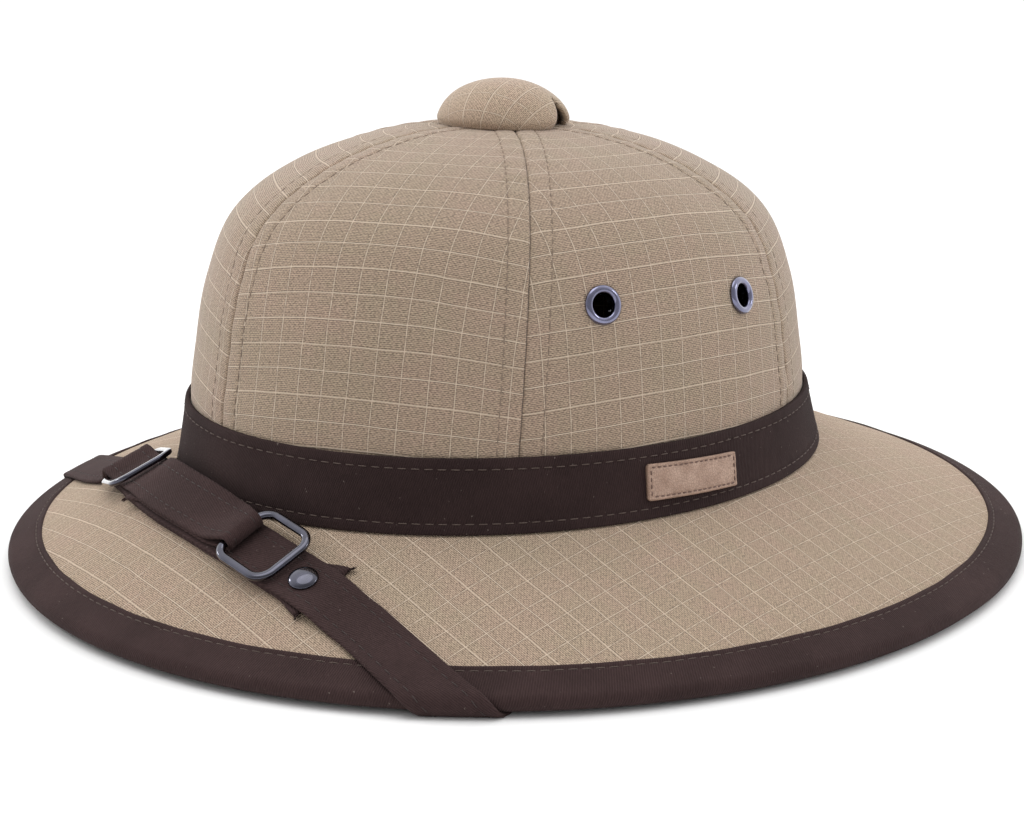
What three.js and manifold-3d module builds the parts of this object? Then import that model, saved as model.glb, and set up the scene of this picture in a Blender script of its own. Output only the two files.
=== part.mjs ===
// Fabric pith helmet with six gores, a sloping bound brim, a hat band and a chin strap laid over the brim.
// Units are millimetres, +Z is up, the wearer faces -Y and the wearer's left is +X.
// Everything is first drawn about the middle of the crown, with z = 0 at the top of the hat band.
import * as THREE from 'three';
import { mergeVertices } from 'three/addons/utils/BufferGeometryUtils.js';
import Module from 'manifold-3d';

const wasm = await Module();
wasm.setup();

// General sizes
const GAP = 0.3;                        // clearance between pieces that touch
const SEGMENTS = 78;                    // steps round the brim, the binding and the band

// Crown, outer surface at the top of the band
const CROWN = {
  halfWidth: 84.7,
  halfLength: 102.3,
  rise: 83.84,
  lean: 3.54,                           // how far the top leans towards the front
  wall: 2.0,
  ventRadius: 8.0,
};

// Radius of the crown against the plain half ellipse, by angle above the band
const CROWN_PROFILE = [
  { angle: 0, swell: 1.0 },
  { angle: 12, swell: 0.999 },
  { angle: 25, swell: 1.035 },
  { angle: 38, swell: 1.078 },
  { angle: 52, swell: 1.053 },
  { angle: 68, swell: 1.006 },
  { angle: 90, swell: 0.957 },
];

// One row for each gore: the seam it starts at and the seam it ends at
const GORES = [
  { name: 'crown_panel_front_left', from: 0, to: 1 },
  { name: 'crown_panel_side_left', from: 1, to: 2 },
  { name: 'crown_panel_back_left', from: 2, to: 3 },
  { name: 'crown_panel_back_right', from: 3, to: 4 },
  { name: 'crown_panel_side_right', from: 4, to: 5 },
  { name: 'crown_panel_front_right', from: 5, to: 6 },
];
const SEAM_STEP = 60;                   // degrees between seams
const SEAM_BOW = { foot: -1.0, middle: -1.7, top: 9.1 };
const GORE_COLUMNS = 8;
const GORE_ANGLES = [0, 10, 20, 29, 37, 45, 53, 61, 69, 77];
const CROWN_TAIL = 2.9;                 // how far the crown goes on below the band

// Hat band
const BAND = { drop: 19.2, frontDrop: 0.96, flare: 5.0, reach: 1.36 };

// Brim and its binding. The top line runs from the foot of the band to the edge line.
const BRIM = {
  edgeHalfWidth: 147.2,
  edgeHalfLength: 165.15,
  edgeForward: 10.25,                   // the brim's middle lies this far behind the crown's
  edgeDrop: 42.95,
  sink: 0.4,                            // the cloth lies this far under the binding's top
  cloth: 2.6,
  boundTop: 1.15,
  boundEnd: 0.9,
};
const BINDING = { round: 2.5, width: 9.5, wallTop: 0.85, wallUnder: 1.7, end: 1.2, arcSteps: 6 };

// The straps under the rim lift the front of the hat by this much
const FRONT_LIFT = 1.24;

// Vent cap
const CAP = {
  radius: 20.5, height: 15.0, wall: 1.5, columns: 28, rows: 6, mouthWidth: 9.0, mouthHeight: 8.5,
};
const CAP_MOUTHS = [120, -60];          // degrees round from the front, towards the wearer's left

// Vent eyelets
const EYELET = {
  radius: 5.5, hole: 3.25, barrel: 3.9, rim: 0.95, backRadius: 4.9, backDrop: 0.7, facets: 14,
};
const EYELETS = [
  { name: 'eyelet_left_front', side: 1, around: 73.9, up: 26.75, gore: 'crown_panel_side_left' },
  { name: 'eyelet_left_back', side: 1, around: 105.7, up: 24.9, gore: 'crown_panel_side_left' },
  { name: 'eyelet_right_front', side: -1, around: 73.9, up: 26.75, gore: 'crown_panel_side_right' },
  { name: 'eyelet_right_back', side: -1, around: 105.7, up: 24.9, gore: 'crown_panel_side_right' },
];

// Label patch: its corners as degrees round the crown and as share of the band's height
const LABEL = { thickness: 1.2, columns: 8 };
const LABEL_CORNERS = {
  topFront: { around: 79.65, down: 0.236 },
  topBack: { around: 97.7, down: 0.31 },
  bottomBack: { around: 96.9, down: 0.8 },
  bottomFront: { around: 79.3, down: 0.743 },
};

// Chin strap. The route on the brim is a nearly straight line over the developed cone.
const STRAP = {
  width: 15.8,
  thickness: 1.0,
  nearest: 116.3,                       // plan distance from the crown's middle to the strap's middle line
  cone: 0.906,
  bendLeft: 0.86,
  bendRight: 0.78,
  stepDown: 5,                          // length over which the strap comes down off the binding
  crossStep: 9,
  wrapSteps: 13,
  aside: -1.0,                          // how far the upper strap and the rings lie towards the crown
};
// How far the strap's middle line is pulled in towards the crown, by distance along it
const STRAP_PULL = [
  { along: -125, inward: -4.6 },
  { along: -96, inward: -4.4 },
  { along: -76, inward: -4.5 },
  { along: -60, inward: -5.7 },
  { along: -45, inward: -5.3 },
  { along: -34, inward: -4.6 },
  { along: -16, inward: -2.8 },
  { along: 0, inward: -1.75 },
  { along: 20, inward: -1.7 },
  { along: 45, inward: -2.3 },
  { along: 60, inward: -3.1 },
  { along: 80, inward: -3.4 },
  { along: 88, inward: -3.0 },
  { along: 96, inward: -2.1 },
  { along: 105, inward: -1.25 },
  { along: 114, inward: -0.85 },
  { along: 130, inward: -0.6 },
];
// Where the strap passes the foot of the band, its inner edge leans up against the band
const LEAN_POWER = 1.5;
const STRAP_LEAN = [
  { along: -31, lift: 0 },
  { along: -19, lift: 1.8 },
  { along: -8, lift: 2.3 },
  { along: 6, lift: 2.1 },
  { along: 16, lift: 1.3 },
  { along: 26, lift: 0 },
];
// Heights of the strap's layers above the brim's cloth line
const LAYER = { first: 0.85, second: 2.15, third: 3.45, fourth: 4.75 };
const RING = { wire: 1.1, halfLong: 9.65, halfCross: 9.4, corner: 4.6, facets: 8, cornerSteps: 4 };
const FOLD = 2.02;                      // radius of the strap's middle line where it folds round a bar
const FOLD_STEPS = 8;
const FOLD_SQUEEZE = 0.77;              // share of its width to which the upper strap bunches up in its ring
const RING_ONE_SQUEEZE = 0.97;          // and the lower strap in its own
const RINGS = [
  { name: 'strap_ring_1', from: { along: -52.2, height: 2.87 }, to: { along: -32.7, height: 5.45 } },
  { name: 'strap_ring_2', from: { along: 31.2, height: 5.47 }, to: { along: 50.7, height: 4.6 } },
];
const SNAP = { along: 58.4, radius: 4.0, dome: 1.6, rim: 0.35, post: 1.2, hole: 1.5, facets: 16 };
const SNAP_SHARES = [0.9, 0.72, 0.45];  // places on the dome, as shares of its radius
const LOWER_END = 65;
const UPPER_END = -22;

// Colours for the plain solids
const COLOUR = { cloth: 0xb49b78, twill: 0x3c2a26, metal: 0x4b4f5c, leather: 0xaf8c73 };

const rad = (degrees) => (degrees * Math.PI) / 180;
const mix = (a, b, share) => a + (b - a) * share;
const vec = (x, y, z) => new THREE.Vector3(x, y, z);

// Smooth curve through rows of a table, at x, with the slopes of its neighbours
function smoothTable(rows, xName, yName, x) {
  let i = 0;
  while (i < rows.length - 2 && x > rows[i + 1][xName]) i += 1;
  const slope = (k) => {
    const a = rows[Math.max(0, k - 1)];
    const b = rows[Math.min(rows.length - 1, k + 1)];
    return (b[yName] - a[yName]) / (b[xName] - a[xName]);
  };
  const a = rows[i];
  const b = rows[i + 1];
  const span = b[xName] - a[xName];
  const s = (x - a[xName]) / span;
  const endSlope = i + 1 === rows.length - 1 ? 0 : slope(i + 1);
  const s2 = s * s;
  const s3 = s2 * s;
  return (2 * s3 - 3 * s2 + 1) * a[yName] + (s3 - 2 * s2 + s) * span * slope(i)
    + (3 * s2 - 2 * s3) * b[yName] + (s3 - s2) * span * endSlope;
}

// Point of the crown's outer surface above the band, both angles in degrees
function crownPoint(around, up) {
  const swell = smoothTable(CROWN_PROFILE, 'angle', 'swell', up);
  const out = swell * Math.cos(rad(up));
  const high = swell * Math.sin(rad(up));
  return vec(
    CROWN.halfWidth * out * Math.sin(rad(around)),
    -CROWN.halfLength * out * Math.cos(rad(around)) - CROWN.lean * high * high,
    CROWN.rise * high,
  );
}

// Point beside the crown below the top of the band: reach is the distance out from the crown at that height
const bandDrop = (around) => -BAND.drop - BAND.frontDrop * Math.cos(rad(around));
function footPoint(around, reach, z) {
  return vec(
    (CROWN.halfWidth + reach) * Math.sin(rad(around)),
    -(CROWN.halfLength + reach) * Math.cos(rad(around)),
    z,
  );
}

// Brim: the root line under the band, the edge line, and points between them
const ROOT_REACH = BAND.reach + BAND.flare;
const rootPoint = (around) => footPoint(around, ROOT_REACH, bandDrop(around));
const edgePoint = (around) => vec(
  BRIM.edgeHalfWidth * Math.sin(rad(around)),
  BRIM.edgeForward - BRIM.edgeHalfLength * Math.cos(rad(around)),
  -BRIM.edgeDrop,
);

// Directions of the brim's section: out along the slope, and up away from the cloth
function slopeFrame(around) {
  const root = rootPoint(around);
  const edge = edgePoint(around);
  const out = edge.clone().sub(root);
  const length = out.length();
  out.normalize();
  const flat = vec(out.x, out.y, 0).normalize();
  const up = vec(-flat.x * out.z, -flat.y * out.z, Math.hypot(out.x, out.y));
  return { root, edge, out, up, length };
}

// Point of the brim's section: beyond is measured outwards from the edge line, high from the top line
function sectionPoint(around, beyond, high) {
  const frame = slopeFrame(around);
  return frame.edge.clone().addScaledVector(frame.out, beyond).addScaledVector(frame.up, high);
}

// Where a plan point lies on the brim: degrees round, and share of the way from root to edge
function brimShare(x, y) {
  let low = -0.5;
  let high = 1.9;
  for (let step = 0; step < 48; step += 1) {
    const share = (low + high) / 2;
    const a = mix(CROWN.halfWidth + ROOT_REACH, BRIM.edgeHalfWidth, share);
    const b = mix(CROWN.halfLength + ROOT_REACH, BRIM.edgeHalfLength, share);
    const c = mix(0, BRIM.edgeForward, share);
    if ((x / a) ** 2 + ((y - c) / b) ** 2 > 1) low = share;
    else high = share;
  }
  const share = (low + high) / 2;
  const a = mix(CROWN.halfWidth + ROOT_REACH, BRIM.edgeHalfWidth, share);
  const b = mix(CROWN.halfLength + ROOT_REACH, BRIM.edgeHalfLength, share);
  const c = mix(0, BRIM.edgeForward, share);
  const around = (Math.atan2(x / a, -(y - c) / b) * 180) / Math.PI;
  return { around, share };
}

// Closed body from triangles, turned so that its faces look outwards
function bodyFromTriangles(points, triangles) {
  let volume = 0;
  const cross = new THREE.Vector3();
  for (const [a, b, c] of triangles) volume += points[a].dot(cross.crossVectors(points[b], points[c]));
  const place = [];
  for (const [a, b, c] of triangles) {
    const order = volume < 0 ? [a, c, b] : [a, b, c];
    for (const k of order) place.push(points[k].x, points[k].y, points[k].z);
  }
  const geometry = new THREE.BufferGeometry();
  geometry.setAttribute('position', new THREE.Float32BufferAttribute(place, 3));
  return geometry;
}

// Closed body of a cloth with two faces, each a grid of rows of points. Round grids join end to end.
function clothBody(topRows, underRows, round) {
  const rows = topRows.length;
  const columns = topRows[0].length;
  const points = [...topRows.flat(), ...underRows.flat()];
  const half = rows * columns;
  const triangles = [];
  const quad = (a, b, c, d) => triangles.push([a, b, c], [a, c, d]);
  const at = (i, j, side) => side * half + i * columns + (j % columns);
  const last = round ? columns : columns - 1;
  for (let i = 0; i < rows - 1; i += 1) {
    for (let j = 0; j < last; j += 1) {
      quad(at(i, j, 0), at(i, j + 1, 0), at(i + 1, j + 1, 0), at(i + 1, j, 0));
      quad(at(i, j, 1), at(i + 1, j, 1), at(i + 1, j + 1, 1), at(i, j + 1, 1));
    }
    if (!round) {
      quad(at(i, 0, 0), at(i + 1, 0, 0), at(i + 1, 0, 1), at(i, 0, 1));
      quad(at(i, last, 0), at(i, last, 1), at(i + 1, last, 1), at(i + 1, last, 0));
    }
  }
  for (let j = 0; j < last; j += 1) {
    quad(at(0, j, 0), at(0, j, 1), at(0, j + 1, 1), at(0, j + 1, 0));
    quad(at(rows - 1, j, 0), at(rows - 1, j + 1, 0), at(rows - 1, j + 1, 1), at(rows - 1, j, 1));
  }
  return bodyFromTriangles(points, triangles);
}

// Closed ring whose section is the list of points that section(around) gives
function ringBody(section) {
  const loops = [];
  for (let k = 0; k < SEGMENTS; k += 1) loops.push(section((k * 360) / SEGMENTS));
  const count = loops[0].length;
  const points = loops.flat();
  const triangles = [];
  for (let k = 0; k < SEGMENTS; k += 1) {
    const next = (k + 1) % SEGMENTS;
    for (let j = 0; j < count; j += 1) {
      const a = k * count + j;
      const b = k * count + ((j + 1) % count);
      const c = next * count + ((j + 1) % count);
      const d = next * count + j;
      triangles.push([a, b, c], [a, c, d]);
    }
  }
  return bodyFromTriangles(points, triangles);
}

// Boolean helper: a cut B on closed bodies
function toManifold(geometry) {
  const plain = geometry.clone();
  plain.deleteAttribute('normal');
  plain.deleteAttribute('uv');
  const merged = mergeVertices(plain, 1e-5);
  const mesh = new wasm.Mesh({
    numProp: 3,
    vertProperties: new Float32Array(merged.attributes.position.array),
    triVerts: new Uint32Array(merged.index.array),
  });
  return new wasm.Manifold(mesh);
}
function fromManifold(solid) {
  const mesh = solid.getMesh();
  const geometry = new THREE.BufferGeometry();
  geometry.setAttribute('position', new THREE.Float32BufferAttribute(Array.from(mesh.vertProperties), 3));
  geometry.setIndex(Array.from(mesh.triVerts));
  return geometry.toNonIndexed();
}
function cut(geometry, tools) {
  let solid = toManifold(geometry);
  for (const tool of tools) solid = solid.subtract(toManifold(tool));
  return fromManifold(solid);
}

// Crown gores
// A seam's place round the crown at an angle above the band
function seamAround(index, up) {
  const share = up / 90;
  const bow = SEAM_BOW.foot * (1 - share) + SEAM_BOW.middle * Math.sin(rad(2 * up)) + SEAM_BOW.top * share;
  if (index === 1) return SEAM_STEP + bow;
  if (index === 5) return 5 * SEAM_STEP - bow;
  return index * SEAM_STEP;
}

// The angle above the band at which the crown reaches the vent hole
function ventAngle(around) {
  let low = 60;
  let high = 90;
  const top = crownPoint(0, 90);
  for (let step = 0; step < 40; step += 1) {
    const middle = (low + high) / 2;
    const p = crownPoint(around, middle);
    if (Math.hypot(p.x, p.y - top.y) > CROWN.ventRadius) low = middle;
    else high = middle;
  }
  return (low + high) / 2;
}

// Outer point of a gore in row coordinates: below 0 down under the band, above 0 degrees up the crown
function gorePoint(around, level) {
  if (level >= 0) return crownPoint(around, level);
  const drop = bandDrop(around);
  if (level >= -1) return footPoint(around, -level * BAND.flare, -level * drop);
  return footPoint(around, BAND.flare, drop - (-level - 1) * CROWN_TAIL);
}
function goreNormal(around, level) {
  const side = 0.4;
  const lower = level - (level > 0 ? side : 0.02);
  const upper = level + (level >= 0 ? side : 0.02);
  const along = gorePoint(around, upper).sub(gorePoint(around, lower));
  const across = gorePoint(around + side, level).sub(gorePoint(around - side, level));
  return across.cross(along).normalize();
}

function goreBody(gore) {
  const levels = [-2, -1, -0.5, ...GORE_ANGLES, 'vent'];
  const outer = [];
  const inner = [];
  for (const entry of levels) {
    const outRow = [];
    const inRow = [];
    const seamLevel = entry === 'vent' ? 84.5 : Math.max(0, entry);
    const start = seamAround(gore.from, seamLevel);
    const end = seamAround(gore.to, seamLevel);
    for (let j = 0; j <= GORE_COLUMNS; j += 1) {
      const plain = mix(start, end, j / GORE_COLUMNS);
      const level = entry === 'vent' ? ventAngle(plain) : entry;
      const step = gorePoint(plain + 0.5, level).distanceTo(gorePoint(plain - 0.5, level));
      let around = plain;
      if (j === 0) around += (GAP / 2) / step;
      if (j === GORE_COLUMNS) around -= (GAP / 2) / step;
      const p = gorePoint(around, level);
      outRow.push(p);
      inRow.push(p.clone().addScaledVector(goreNormal(around, level), -CROWN.wall));
    }
    outer.push(outRow);
    inner.push(inRow);
  }
  return clothBody(outer, inner, false);
}

// Place and direction of an eyelet
function eyeletFrame(row) {
  const around = row.side * row.around;
  const centre = crownPoint(around, row.up);
  const normal = goreNormal(around, row.up);
  const turn = new THREE.Quaternion().setFromUnitVectors(vec(0, 0, 1), normal);
  return new THREE.Matrix4().compose(centre, turn, vec(1, 1, 1));
}
function latheBody(profile, facets) {
  const flat = profile.map(([r, z]) => new THREE.Vector2(r, z));
  const geometry = new THREE.LatheGeometry(flat, facets);
  geometry.rotateX(Math.PI / 2);
  return geometry;
}
function eyeletBody(row) {
  const face = GAP;
  const back = -CROWN.wall - GAP - 0.25;
  const profile = [
    [EYELET.hole, back - EYELET.backDrop],
    [EYELET.backRadius, back - EYELET.backDrop],
    [EYELET.backRadius, back],
    [EYELET.barrel, back],
    [EYELET.barrel, face],
    [EYELET.radius, face],
    [EYELET.radius - 0.7, face + EYELET.rim],
    [EYELET.hole + 0.7, face + EYELET.rim],
    [EYELET.hole, face + 0.3],
    [EYELET.hole, back - EYELET.backDrop],
  ];
  const geometry = latheBody(profile, EYELET.facets);
  geometry.applyMatrix4(eyeletFrame(row));
  return geometry;
}
function eyeletCutter(row) {
  const wide = EYELET.barrel + GAP;
  const cutter = new THREE.CylinderGeometry(wide, wide, 4 * CROWN.wall, EYELET.facets);
  cutter.rotateX(Math.PI / 2);
  cutter.translate(0, 0, -CROWN.wall / 2);
  cutter.applyMatrix4(eyeletFrame(row));
  return cutter;
}

// Vent cap: a hollow dome whose foot follows the top of the crown
function crownHeight(x, y) {
  const top = crownPoint(0, 90);
  const around = (Math.atan2(x / CROWN.halfWidth, -(y - top.y) / CROWN.halfLength) * 180) / Math.PI;
  const reach = Math.hypot(x, y - top.y);
  let low = 40;
  let high = 90;
  for (let step = 0; step < 40; step += 1) {
    const middle = (low + high) / 2;
    const p = crownPoint(around, middle);
    if (Math.hypot(p.x, p.y - top.y) > reach) low = middle;
    else high = middle;
  }
  return crownPoint(around, (low + high) / 2).z;
}
function capRows(radius, height) {
  const top = crownPoint(0, 90);
  const rows = [];
  for (let i = 0; i <= CAP.rows; i += 1) {
    const lift = Math.sin(rad((i * 90) / CAP.rows));
    const spread = i === CAP.rows ? 0.02 : Math.cos(rad((i * 90) / CAP.rows)) ** 0.8;
    const row = [];
    for (let j = 0; j < CAP.columns; j += 1) {
      const a = rad((j * 360) / CAP.columns);
      const x = radius * spread * Math.sin(a);
      const y = top.y - radius * spread * Math.cos(a);
      const foot = crownHeight(radius * Math.sin(a), top.y - radius * Math.cos(a)) + GAP;
      row.push(vec(x, y, mix(foot, top.z + height, lift)));
    }
    rows.push(row);
  }
  return rows;
}
function capBody() {
  const inner = capRows(CAP.radius - CAP.wall, CAP.height - CAP.wall);
  const shell = clothBodyClosed(capRows(CAP.radius, CAP.height), inner);
  const top = crownPoint(0, 90);
  const mouths = CAP_MOUTHS.map((around) => {
    const outline = new THREE.Shape();
    outline.moveTo(-CAP.mouthWidth / 2, -3);
    outline.lineTo(CAP.mouthWidth / 2, -3);
    outline.lineTo(CAP.mouthWidth * 0.1, CAP.mouthHeight);
    outline.lineTo(-CAP.mouthWidth * 0.1, CAP.mouthHeight);
    outline.closePath();
    const tool = new THREE.ExtrudeGeometry(outline, { depth: CAP.radius + 4, bevelEnabled: false });
    tool.rotateX(Math.PI / 2);
    tool.translate(0, -4, 0);
    tool.rotateZ(rad(around));
    tool.translate(0, top.y, top.z);
    return tool;
  });
  return cut(shell, mouths);
}
// Dome of two skins that each close in a point at the top
function clothBodyClosed(outer, inner) {
  const columns = outer[0].length;
  const rows = outer.length;
  const points = [];
  const triangles = [];
  const sides = [outer, inner].map((grid) => {
    const base = points.length;
    for (let i = 0; i < rows - 1; i += 1) points.push(...grid[i]);
    points.push(grid[rows - 1].reduce((sum, p) => sum.add(p), vec(0, 0, 0)).divideScalar(columns));
    return { base, tip: points.length - 1 };
  });
  sides.forEach(({ base, tip }, side) => {
    const add = (a, b, c) => triangles.push(side === 0 ? [a, b, c] : [a, c, b]);
    for (let j = 0; j < columns; j += 1) {
      const k = (j + 1) % columns;
      for (let i = 0; i < rows - 2; i += 1) {
        const a = base + i * columns;
        add(a + j, a + k, a + columns + k);
        add(a + j, a + columns + k, a + columns + j);
      }
      const a = base + (rows - 2) * columns;
      add(a + j, a + k, tip);
    }
  });
  for (let j = 0; j < columns; j += 1) {
    const k = (j + 1) % columns;
    triangles.push([j, sides[1].base + j, sides[1].base + k], [j, sides[1].base + k, k]);
  }
  return bodyFromTriangles(points, triangles);
}

// Hat band
function bandBody() {
  return ringBody((around) => {
    const drop = bandDrop(around);
    const frame = slopeFrame(around);
    const rise = (BAND.reach - GAP) * (-frame.out.z / Math.hypot(frame.out.x, frame.out.y));
    return [
      footPoint(around, GAP, 0),
      footPoint(around, BAND.reach, 0),
      footPoint(around, ROOT_REACH, drop + GAP - BRIM.sink),
      footPoint(around, BAND.flare + GAP, drop + GAP - BRIM.sink + rise),
    ];
  });
}

// Brim cloth and binding
function brimBody() {
  return ringBody((around) => {
    const frame = slopeFrame(around);
    const back = (high) => {
      const p = frame.root.clone().addScaledVector(frame.up, high);
      const wall = footPoint(around, BAND.flare + GAP, 0);
      const flat = Math.hypot(frame.out.x, frame.out.y);
      const far = ((wall.x - p.x) * frame.out.x + (wall.y - p.y) * frame.out.y) / (flat * flat);
      return p.addScaledVector(frame.out, far);
    };
    const under = -BRIM.sink - BRIM.cloth;
    return [
      back(-BRIM.sink),
      sectionPoint(around, -BINDING.width - GAP, -BRIM.sink),
      sectionPoint(around, -BINDING.width - GAP, -BRIM.boundTop),
      sectionPoint(around, BRIM.boundEnd - 0.5, -BRIM.boundTop),
      sectionPoint(around, BRIM.boundEnd, -BRIM.boundTop - 0.5),
      sectionPoint(around, BRIM.boundEnd, under + 0.5),
      sectionPoint(around, BRIM.boundEnd - 0.5, under),
      back(under),
    ];
  });
}
function bindingBody() {
  return ringBody((around) => {
    const loop = [
      sectionPoint(around, -BINDING.width, -BINDING.wallTop),
      sectionPoint(around, -BINDING.width, 0),
    ];
    for (let k = 0; k <= BINDING.arcSteps; k += 1) {
      const turn = rad((k * 180) / BINDING.arcSteps);
      loop.push(sectionPoint(around, BINDING.round * Math.sin(turn), BINDING.round * (Math.cos(turn) - 1)));
    }
    loop.push(sectionPoint(around, -BINDING.width, -2 * BINDING.round));
    loop.push(sectionPoint(around, -BINDING.width, BINDING.wallUnder - 2 * BINDING.round));
    loop.push(sectionPoint(around, BINDING.end, BINDING.wallUnder - 2 * BINDING.round));
    loop.push(sectionPoint(around, BINDING.end, -BINDING.wallTop));
    return loop;
  });
}

// Label patch, bent round the band
function labelBody() {
  const c = LABEL_CORNERS;
  const rowOf = (front, back, high) => {
    const row = [];
    for (let j = 0; j <= LABEL.columns; j += 1) {
      const around = mix(front.around, back.around, j / LABEL.columns);
      const down = mix(front.down, back.down, j / LABEL.columns);
      const drop = bandDrop(around);
      const lean = Math.atan2(BAND.flare, -drop);
      const p = footPoint(around, BAND.reach + down * BAND.flare, down * drop);
      const outward = vec(p.x / CROWN.halfWidth ** 2, p.y / CROWN.halfLength ** 2, 0).normalize();
      p.addScaledVector(outward, high * Math.cos(lean));
      p.z += high * Math.sin(lean);
      row.push(p);
    }
    return row;
  };
  const sheet = (high) => [rowOf(c.topFront, c.topBack, high), rowOf(c.bottomFront, c.bottomBack, high)];
  return clothBody(sheet(GAP + LABEL.thickness), sheet(GAP), false);
}

// Chin strap
// Plan place of the strap's middle line at a distance along it, towards the wearer's left
function strapPlan(along) {
  const turn = Math.atan((along * STRAP.cone) / STRAP.nearest) / STRAP.cone;
  const bend = along >= 0 ? STRAP.bendLeft : STRAP.bendRight;
  const reach = STRAP.nearest / Math.cos(bend * turn) + smoothTable(STRAP_PULL, 'along', 'inward', along);
  return new THREE.Vector2(reach * Math.sin(turn), -reach * Math.cos(turn));
}

// How much a strap point is lifted because the strap's inner edge leans on the band
function leanLift(along, across) {
  const inner = Math.max(0, -across / (STRAP.width / 2));
  const first = STRAP_LEAN[0].along;
  const last = STRAP_LEAN[STRAP_LEAN.length - 1].along;
  if (along <= first || along >= last) return 0;
  return Math.max(0, smoothTable(STRAP_LEAN, 'along', 'lift', along)) * inner ** LEAN_POWER;
}

// Point of the strap: along it, across it (towards the front is positive), and high above the cloth.
// Beyond the edge line the point goes round the rim and on under the brim.
function strapPoint(along, across, height) {
  const high = height + leanLift(along, across);
  const here = strapPlan(along);
  const ahead = strapPlan(along + 0.5).sub(strapPlan(along - 0.5)).normalize();
  const side = new THREE.Vector2(ahead.y, -ahead.x);
  const low = brimShare(here.x + side.x, here.y + side.y);
  const top = brimShare(here.x - side.x, here.y - side.y);
  const slope = (planHeight(top) - planHeight(low)) / 2;
  const shrink = 1 / Math.hypot(1, slope);
  const x = here.x + side.x * across * shrink;
  const y = here.y + side.y * across * shrink;
  const spot = brimShare(x, y);
  const frame = slopeFrame(spot.around);
  const beyond = (spot.share - 1) * frame.length;
  if (beyond <= 0) {
    const fall = Math.min(1, Math.max(0, (-beyond - BINDING.width - GAP) / STRAP.stepDown));
    const raised = high - BRIM.sink * fall;
    return frame.edge.clone().addScaledVector(frame.out, beyond).addScaledVector(frame.up, raised);
  }
  const radius = BINDING.round + high;
  const centre = frame.edge.clone().addScaledVector(frame.up, -BINDING.round);
  const turn = Math.min(Math.PI, beyond / radius);
  const rest = beyond - turn * radius;
  return centre.addScaledVector(frame.up, radius * Math.cos(turn))
    .addScaledVector(frame.out, radius * Math.sin(turn) - rest);
}
function planHeight({ around, share }) {
  return mix(bandDrop(around), -BRIM.edgeDrop, share);
}

// Stations of a strap are rows of three points on its middle surface, each with its normal
const ACROSS = [-STRAP.width / 2, 0, STRAP.width / 2];
function stationRow(along, high, width = 1, aside = 0) {
  return ACROSS.map((across) => strapPoint(along, across * width + aside, high));
}

// Body of a strap from its station rows. The normals come from the neighbouring stations.
function strapBody(rows) {
  const half = STRAP.thickness / 2;
  const normals = rows.map((row, i) => {
    const before = rows[Math.max(0, i - 1)];
    const after = rows[Math.min(rows.length - 1, i + 1)];
    return row.map((p, j) => {
      const along = after[j].clone().sub(before[j]);
      const across = row[Math.min(2, j + 1)].clone().sub(row[Math.max(0, j - 1)]);
      return across.cross(along).normalize();
    });
  });
  const moved = (p, i, j, far) => p.clone().addScaledVector(normals[i][j], far);
  const shift = (far) => rows.map((row, i) => row.map((p, j) => moved(p, i, j, far)));
  return clothBody(shift(half), shift(-half), false);
}

// Rows of a strap at a table of distances, heights and shares of its width, with no step longer than
// the cross step. The rows between the first and the last are moved sideways by `aside`.
function brimRows(table, aside = 0) {
  const rows = [];
  for (let k = 0; k < table.length - 1; k += 1) {
    const a = table[k];
    const b = table[k + 1];
    const steps = Math.max(1, Math.round(Math.abs(b.along - a.along) / STRAP.crossStep));
    for (let i = 0; i < steps; i += 1) {
      const share = i / steps;
      const width = mix(a.width ?? 1, b.width ?? 1, share);
      const side = aside * mix(a.aside ?? 1, b.aside ?? 1, share);
      rows.push(stationRow(mix(a.along, b.along, share), mix(a.height, b.height, share), width, side));
    }
  }
  const last = table[table.length - 1];
  rows.push(stationRow(last.along, last.height, last.width, aside * (last.aside ?? 1)));
  return rows;
}

// Fold round a bar, from the under layer to the upper one. Side is +1 where it points to the wearer's left.
function foldRows(along, height, side, width, aside = 0) {
  const rows = [];
  for (let k = 0; k <= FOLD_STEPS; k += 1) {
    const turn = rad(-90 + (k * 180) / FOLD_STEPS);
    rows.push(ACROSS.map((full) => {
      const across = full * width + aside;
      const behind = strapPoint(along - 0.5, across, height);
      const step = strapPoint(along + 0.5, across, height).distanceTo(behind);
      const reach = (side * FOLD * Math.cos(turn)) / step;
      return strapPoint(along + reach, across, height + FOLD * Math.sin(turn));
    }));
  }
  return rows;
}

// The wrap round the rim: rows that run along the rim, so that the strap bends as a flat tape does
function wrapRows(side) {
  const row = (extra) => ACROSS.map((across) => {
    let low = 40;
    let high = 200;
    for (let step = 0; step < 40; step += 1) {
      const middle = (low + high) / 2;
      const spot = strapSpot(side * middle, across);
      if (spot < extra) low = middle;
      else high = middle;
    }
    return strapPoint((side * (low + high)) / 2, across, LAYER.first);
  });
  const arc = Math.PI * (BINDING.round + LAYER.first);
  const rows = [row(-7), row(-2.5)];
  for (let k = 0; k < STRAP.wrapSteps; k += 1) rows.push(row((arc * k) / (STRAP.wrapSteps - 1)));
  rows.push(row(arc + 6));
  return rows;
}
// How far past the edge line a strap point lies
function strapSpot(along, across) {
  const here = strapPlan(along);
  const ahead = strapPlan(along + 0.5).sub(strapPlan(along - 0.5)).normalize();
  const x = here.x + ahead.y * across * 0.95;
  const y = here.y - ahead.x * across * 0.95;
  const spot = brimShare(x, y);
  return (spot.share - 1) * slopeFrame(spot.around).length;
}

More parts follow.
